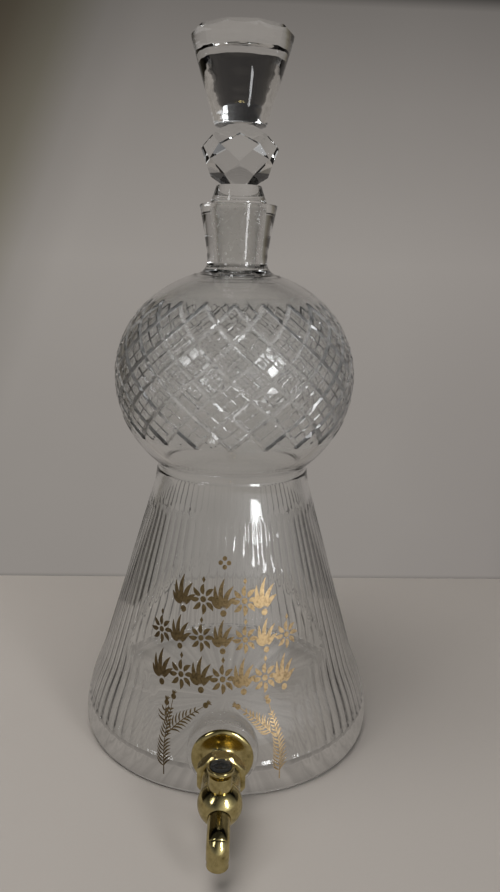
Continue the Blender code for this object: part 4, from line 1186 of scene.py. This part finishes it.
# Painted light and shade on the wall, with a thin painted shadow line along its foot:
# How light the wall is going up, as a share of its colour, and then going right
WALL_LIGHT_RISE = ((0.0, 0.70), (0.0012, 0.93), (0.20, 0.97), (0.36, 1.06), (0.52, 0.78), (0.61, 0.56),
             (0.625, 0.08))
WALL_LIGHT_SIDE = ((0.0, 0.14), (0.27, 0.28), (0.335, 0.76), (0.375, (1.0, 1.0, 0.995)), (0.57, 1.0),
             (0.625, (0.93, 0.925, 0.93)), (0.67, 0.76), (0.74, 0.28), (1.0, 0.14))
# Painted shade in the wall's upper left corner:
CORNER_LEFT = 10                # how fast the wall darkens into its upper left corner
CORNER_UP = 4
CORNER_SHADE = ((0.0, 1.0), (0.05, 0.985), (0.276, (0.86, 0.86, 0.85)), (0.54, (0.56, 0.55, 0.47)),
                (0.80, (0.37, 0.34, 0.27)), (1.0, (0.28, 0.25, 0.20)))
SET_FOOT = -0.0002


def tint(colour, share):
    return tuple(value * share for value in colour)


def wall_colour(tree):
    """Warm grey, with painted light and shade: darker towards the sides and the upper left corner, a
    thin painted shadow line along its foot, and far up nearly black.
    """
    x, z = axis_value(tree, "X"), axis_value(tree, "Z")
    rise = ramp(tree, spread(tree, z, 0, 1), [(height, tint(WALL_COLOUR, share))
                                              for height, share in WALL_LIGHT_RISE]
                + [(0.650, (0.006, 0.006, 0.007))])
    side = ramp(tree, spread(tree, x, 0, 1, -1.2, 1.2), WALL_LIGHT_SIDE)
    up = spread(tree, z, 0, CORNER_UP, 0.5, 1.5, clamp=False)
    corner = node(tree, "ShaderNodeMath", {0: x, 1: -CORNER_LEFT, 2: up}, operation="MULTIPLY_ADD")
    shade = ramp(tree, spread(tree, corner, 0, 1, 1.3, 3.0), CORNER_SHADE)
    cloud = ramp(tree, noise(tree, 6, 3), [(0.3, 0.97), (0.7, 1.0)])
    return mixed(tree, mixed(tree, mixed(tree, rise, side), shade), cloud)


def table_colour(tree):
    across = spread(tree, axis_value(tree, "X"), 0, 1, -0.30, 0.30)
    # Painted light: the table is lighter to the left and darker to the right.
    side = ramp(tree, across, [(0.0, 1.04), (0.5, 0.91), (1.0, 0.86)])
    cloud = ramp(tree, noise(tree, 3, 3), [(0.3, tint(TABLE_COLOUR, 0.96)), (0.7, TABLE_COLOUR)])
    grain = ramp(tree, noise(tree, 700, 3), [(0.3, 0.985), (0.7, 1.0)])
    return mixed(tree, mixed(tree, cloud, side), grain)


def table_through(tree):
    """The table as glass shows it: under the vessel a ring of shade and spokes of gathered light."""
    away = node(tree, "ShaderNodeVectorMath", {0: here(tree)}, "Value", operation="LENGTH")
    turn = node(tree, "ShaderNodeVectorMath", {0: here(tree)}, operation="NORMALIZE")
    spokes = node(tree, "ShaderNodeTexNoise", {"Vector": turn, "Scale": 14, "Detail": 3})
    streaks = ramp(tree, spokes, [(0.32, 0.70), (0.5, 0.84), (0.68, 0.99)])
    shade = ramp(tree, spread(tree, away, 0, 1, 0.0, 0.16),
                 [(0.0, 0.90), (0.55, 0.90), (0.685, 0.62), (0.72, 0.86), (1.0, 0.98)])
    return mixed(tree, mixed(tree, table_colour(tree), streaks), shade)


def backdrop(thing, name, colour, seen, rays):
    """Matt paint for the set. To the rays named it glows, unlit, in its plain colour, as seen gives it;
    to others it is lit, so that it keeps the object's shadow."""
    made = surface(name, colour, values={"Roughness": 0.75, "Specular IOR Level": 0.2})
    thing.data.materials.append(made)
    tree = made.node_tree
    lit = tree.nodes["Principled BSDF"].outputs["BSDF"]
    plain = node(tree, "ShaderNodeEmission", {"Color": seen(tree), "Strength": 1.0})
    shown = node(tree, "ShaderNodeLightPath", out=rays[0])
    for ray in rays[1:]:
        shown = node(tree, "ShaderNodeMath", {0: shown, 1: node(tree, "ShaderNodeLightPath", out=ray)},
                     operation="MAXIMUM")
    return tree, node(tree, "ShaderNodeMixShader", {0: shown, 1: lit, 2: plain})


def make_set():
    """A table and a wall. The wall looks the same straight and through the glass, and is clear
    from behind."""
    left, right = ((side * FLOOR_SIZE, WALL_DISTANCE + side * FLOOR_SIZE * WALL_SKEW)
                   for side in (-1, 1))
    front = ((side * FLOOR_SIZE, -FLOOR_SIZE, SET_FOOT) for side in (-1, 1))
    floor = add_mesh("floor", [*front, (*right, SET_FOOT), (*left, SET_FOOT)], [(0, 1, 2, 3)])
    wall = add_mesh("wall", [(*left, SET_FOOT), (*right, SET_FOOT), (*right, WALL_HEIGHT),
                             (*left, WALL_HEIGHT)], [(0, 1, 2, 3)])
    rays = ("Is Glossy Ray", "Is Transmission Ray", "Is Camera Ray")
    tree, table = backdrop(floor, "table", table_colour, table_through, rays[:2])
    tree.links.new(table, tree.nodes["Material Output"].inputs["Surface"])
    tree, paint = backdrop(wall, "wall", wall_colour, wall_colour, rays)
    behind = node(tree, "ShaderNodeNewGeometry", out="Backfacing")
    clear = node(tree, "ShaderNodeBsdfTransparent")
    paint = node(tree, "ShaderNodeMixShader", {0: behind, 1: paint, 2: clear})
    tree.links.new(paint, tree.nodes["Material Output"].inputs["Surface"])


def make_camera():
    data = bpy.data.cameras.new("camera")
    data.lens = CAMERA_LENS
    data.sensor_width = 36
    data.shift_x = CAMERA_SHIFT
    camera = bpy.data.objects.new("camera", data)
    bpy.context.scene.collection.objects.link(camera)
    camera.location = (CAMERA_DISTANCE * sin(CAMERA_AZIMUTH),
                       -CAMERA_DISTANCE * cos(CAMERA_AZIMUTH), CAMERA_HEIGHT)
    turn = Matrix.Rotation(CAMERA_AZIMUTH, 4, "Z")
    tilt = Matrix.Rotation(pi / 2 - CAMERA_PITCH, 4, "X")
    roll = Matrix.Rotation(CAMERA_ROLL, 4, "Z")
    camera.rotation_euler = (turn @ tilt @ roll).to_euler()
    bpy.context.scene.camera = camera


def area_light(name, place, aim, size, power, colour=(1, 1, 1)):
    data = bpy.data.lights.new(name, "AREA")
    data.shape = "RECTANGLE"
    data.size, data.size_y = size
    data.energy = power
    data.color = colour
    light = bpy.data.objects.new(name, data)
    bpy.context.scene.collection.objects.link(light)
    light.location = place
    light.rotation_euler = (Vector(aim) - Vector(place)).to_track_quat("-Z", "Y").to_euler()
    return light


# Bright things in the dim room: name, angle round the vessel in degrees, distance, height, width
# and height, radiance, colour
GLOWS = (("window", 38, 1.9, 0.95, (0.36, 0.95), 12, (0.96, 0.98, 1.0)),
         ("left_window", -46, 1.9, 1.40, (0.40, 0.95), 4.5, (0.98, 0.99, 1.0)),
         ("low_strip", 31, 0.45, 0.29, (0.055, 0.11), 8, (0.97, 0.98, 1.0)))
HALO_TURN = radians(36)         # the room is lighter this way
HALO_RISE = radians(18)


def make_world():
    """A dim room, dark above, with a soft halo of light to the front right."""
    world = bpy.data.worlds.new("room")
    world.use_nodes = True
    tree = world.node_tree
    around = node(tree, "ShaderNodeTexCoord", out="Generated")
    up = ramp(tree, spread(tree, node(tree, "ShaderNodeSeparateXYZ", {0: around}, "Z"), 0, 1, -1, 1),
              [(0.0, (0.26, 0.24, 0.22)), (0.5, (0.26, 0.25, 0.24)), (0.60, (0.13, 0.13, 0.135)),
               (0.72, 0.035), (1.0, 0.02)])
    way = (sin(HALO_TURN) * cos(HALO_RISE), -cos(HALO_TURN) * cos(HALO_RISE),
           sin(HALO_RISE))
    toward = node(tree, "ShaderNodeVectorMath", {0: around, 1: way}, "Value",
                  operation="DOT_PRODUCT")
    halo = ramp(tree, spread(tree, toward, 0, 1, 0.55, 1.0),
                [(0.0, 0.0), (0.45, 0.10), (0.8, 0.38), (1.0, 0.85)])
    background = tree.nodes["Background"].inputs
    tree.links.new(mixed(tree, up, halo, "ADD"), background["Color"])
    background["Strength"].default_value = 1.0
    bpy.context.scene.world = world


def make_lights():
    """A soft ceiling light, and narrow windows that show in glass and brass."""
    ceiling = area_light("ceiling", (-0.35, -0.35, 1.9), (0, 0, 0.1), (1.3, 1.3), 36)
    ceiling.visible_glossy = False
    ceiling.visible_transmission = False
    for name, around, away, height, size, radiance, colour in GLOWS:
        turn = radians(around)
        place = (away * sin(turn), -away * cos(turn), height)
        area_light(name, place, (0, 0, 0.2), size, radiance * pi * size[0] * size[1], colour)


brass = make_brass()
glass = [make_glass("cut_glass", ((30, 1.5), 0.00012)), make_ground_glass(), make_cut_glass(),
         make_foot_face(), make_glass("finial_glass", ((60, 1.5, 0.5, (1, 1, 1.6)), 0.00034))]
black = surface("button_black", ((400, 4), [(0.35, 0.006), (0.7, (0.012, 0.012, 0.011))]),
                {"Roughness": ((1200, 5), (0.02, 0.06, 0.35, 0.7))}, values={"Specular IOR Level": 0.9})
rubber = make_matt("rubber", (0.012, 0.012, 0.012), (0.045, 0.043, 0.042), (0.57, 0.73))
fibre = make_matt("fibre", (0.10, 0.065, 0.045), (0.24, 0.17, 0.12), (0.72, 0.88))
cork = surface("cork", ((700, 6, 0.7), [(0.3, (0.22, 0.13, 0.07)), (0.6, (0.48, 0.33, 0.20))]),
               wave=((900, 4), 0.0001), values={"Roughness": 0.85})
steel = surface("spring_steel", ((900, 4), [(0.3, 0.30), (0.7, (0.55, 0.55, 0.54))]),
                {"Roughness": ((1500, 3), (0.22, 0.4))}, values={"Metallic": 1.0})
gilt = surface("gilt", gilt_colour, {"Roughness": ((900, 4), (0.32, 0.5))}, ((1500, 3), 0.00001),
               {"Metallic": 0.75})

# Maker, the CAD node that the piece replaces, its crease in degrees, material slot, materials
# and body
PIECES = ((make_vessel, "glass_vessel", 9, "cut_glass", glass, "vessel"),
          (make_stopper, "stopper", 9, "cut_glass", glass, "stopper"),
          (make_flange, "tap_flange", 50, "brass", [brass], "vessel"),
          (make_collar_nut, "collar_nut", 30, "brass", [brass], "vessel"),
          (make_tap_body, "tap_body", 30, "brass", [brass], "vessel"),
          (make_spout_pipe, "spout_pipe", 30, "brass", [brass], "vessel"),
          (make_nozzle, "spout_nozzle", 30, "brass", [brass], "vessel"),
          (make_bonnet, "bonnet", 30, "brass", [brass], "vessel"),
          (make_stem, "valve_stem", 30, "brass", [brass], "button"),
          (make_button, "push_button", 30, "brass", [brass], "button"),
          (make_inlay, "button_inlay", 40, "button_black", [black], "button"),
          (make_spring, "return_spring", 60, "spring_steel", [steel], "vessel"),
          (make_gilding, None, 40, "brass", [gilt], "vessel"))
for make, replaced, crease, slot, paints, body in PIECES:
    piece = smooth(make(), crease)
    if replaced:
        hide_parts(replaced)
    piece.data.materials.clear()
    for paint in paints:
        piece.data.materials.append(paint)
    if paints is glass:
        grind(piece)
    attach(piece, body)
for name, paint in (("tap_bush", cork), ("flange_washer", fibre), ("stem_seal", rubber),
                    ("valve_disc", rubber), ("tap_shank", brass), ("body_plug", brass),
                    ("valve_seat", brass), ("disc_nut", brass)):
    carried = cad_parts[name].data.materials
    carried.clear()
    carried.append(paint)

make_camera()
make_set()
make_world()
make_lights()
bpy.context.scene.view_settings.view_transform = "Standard"
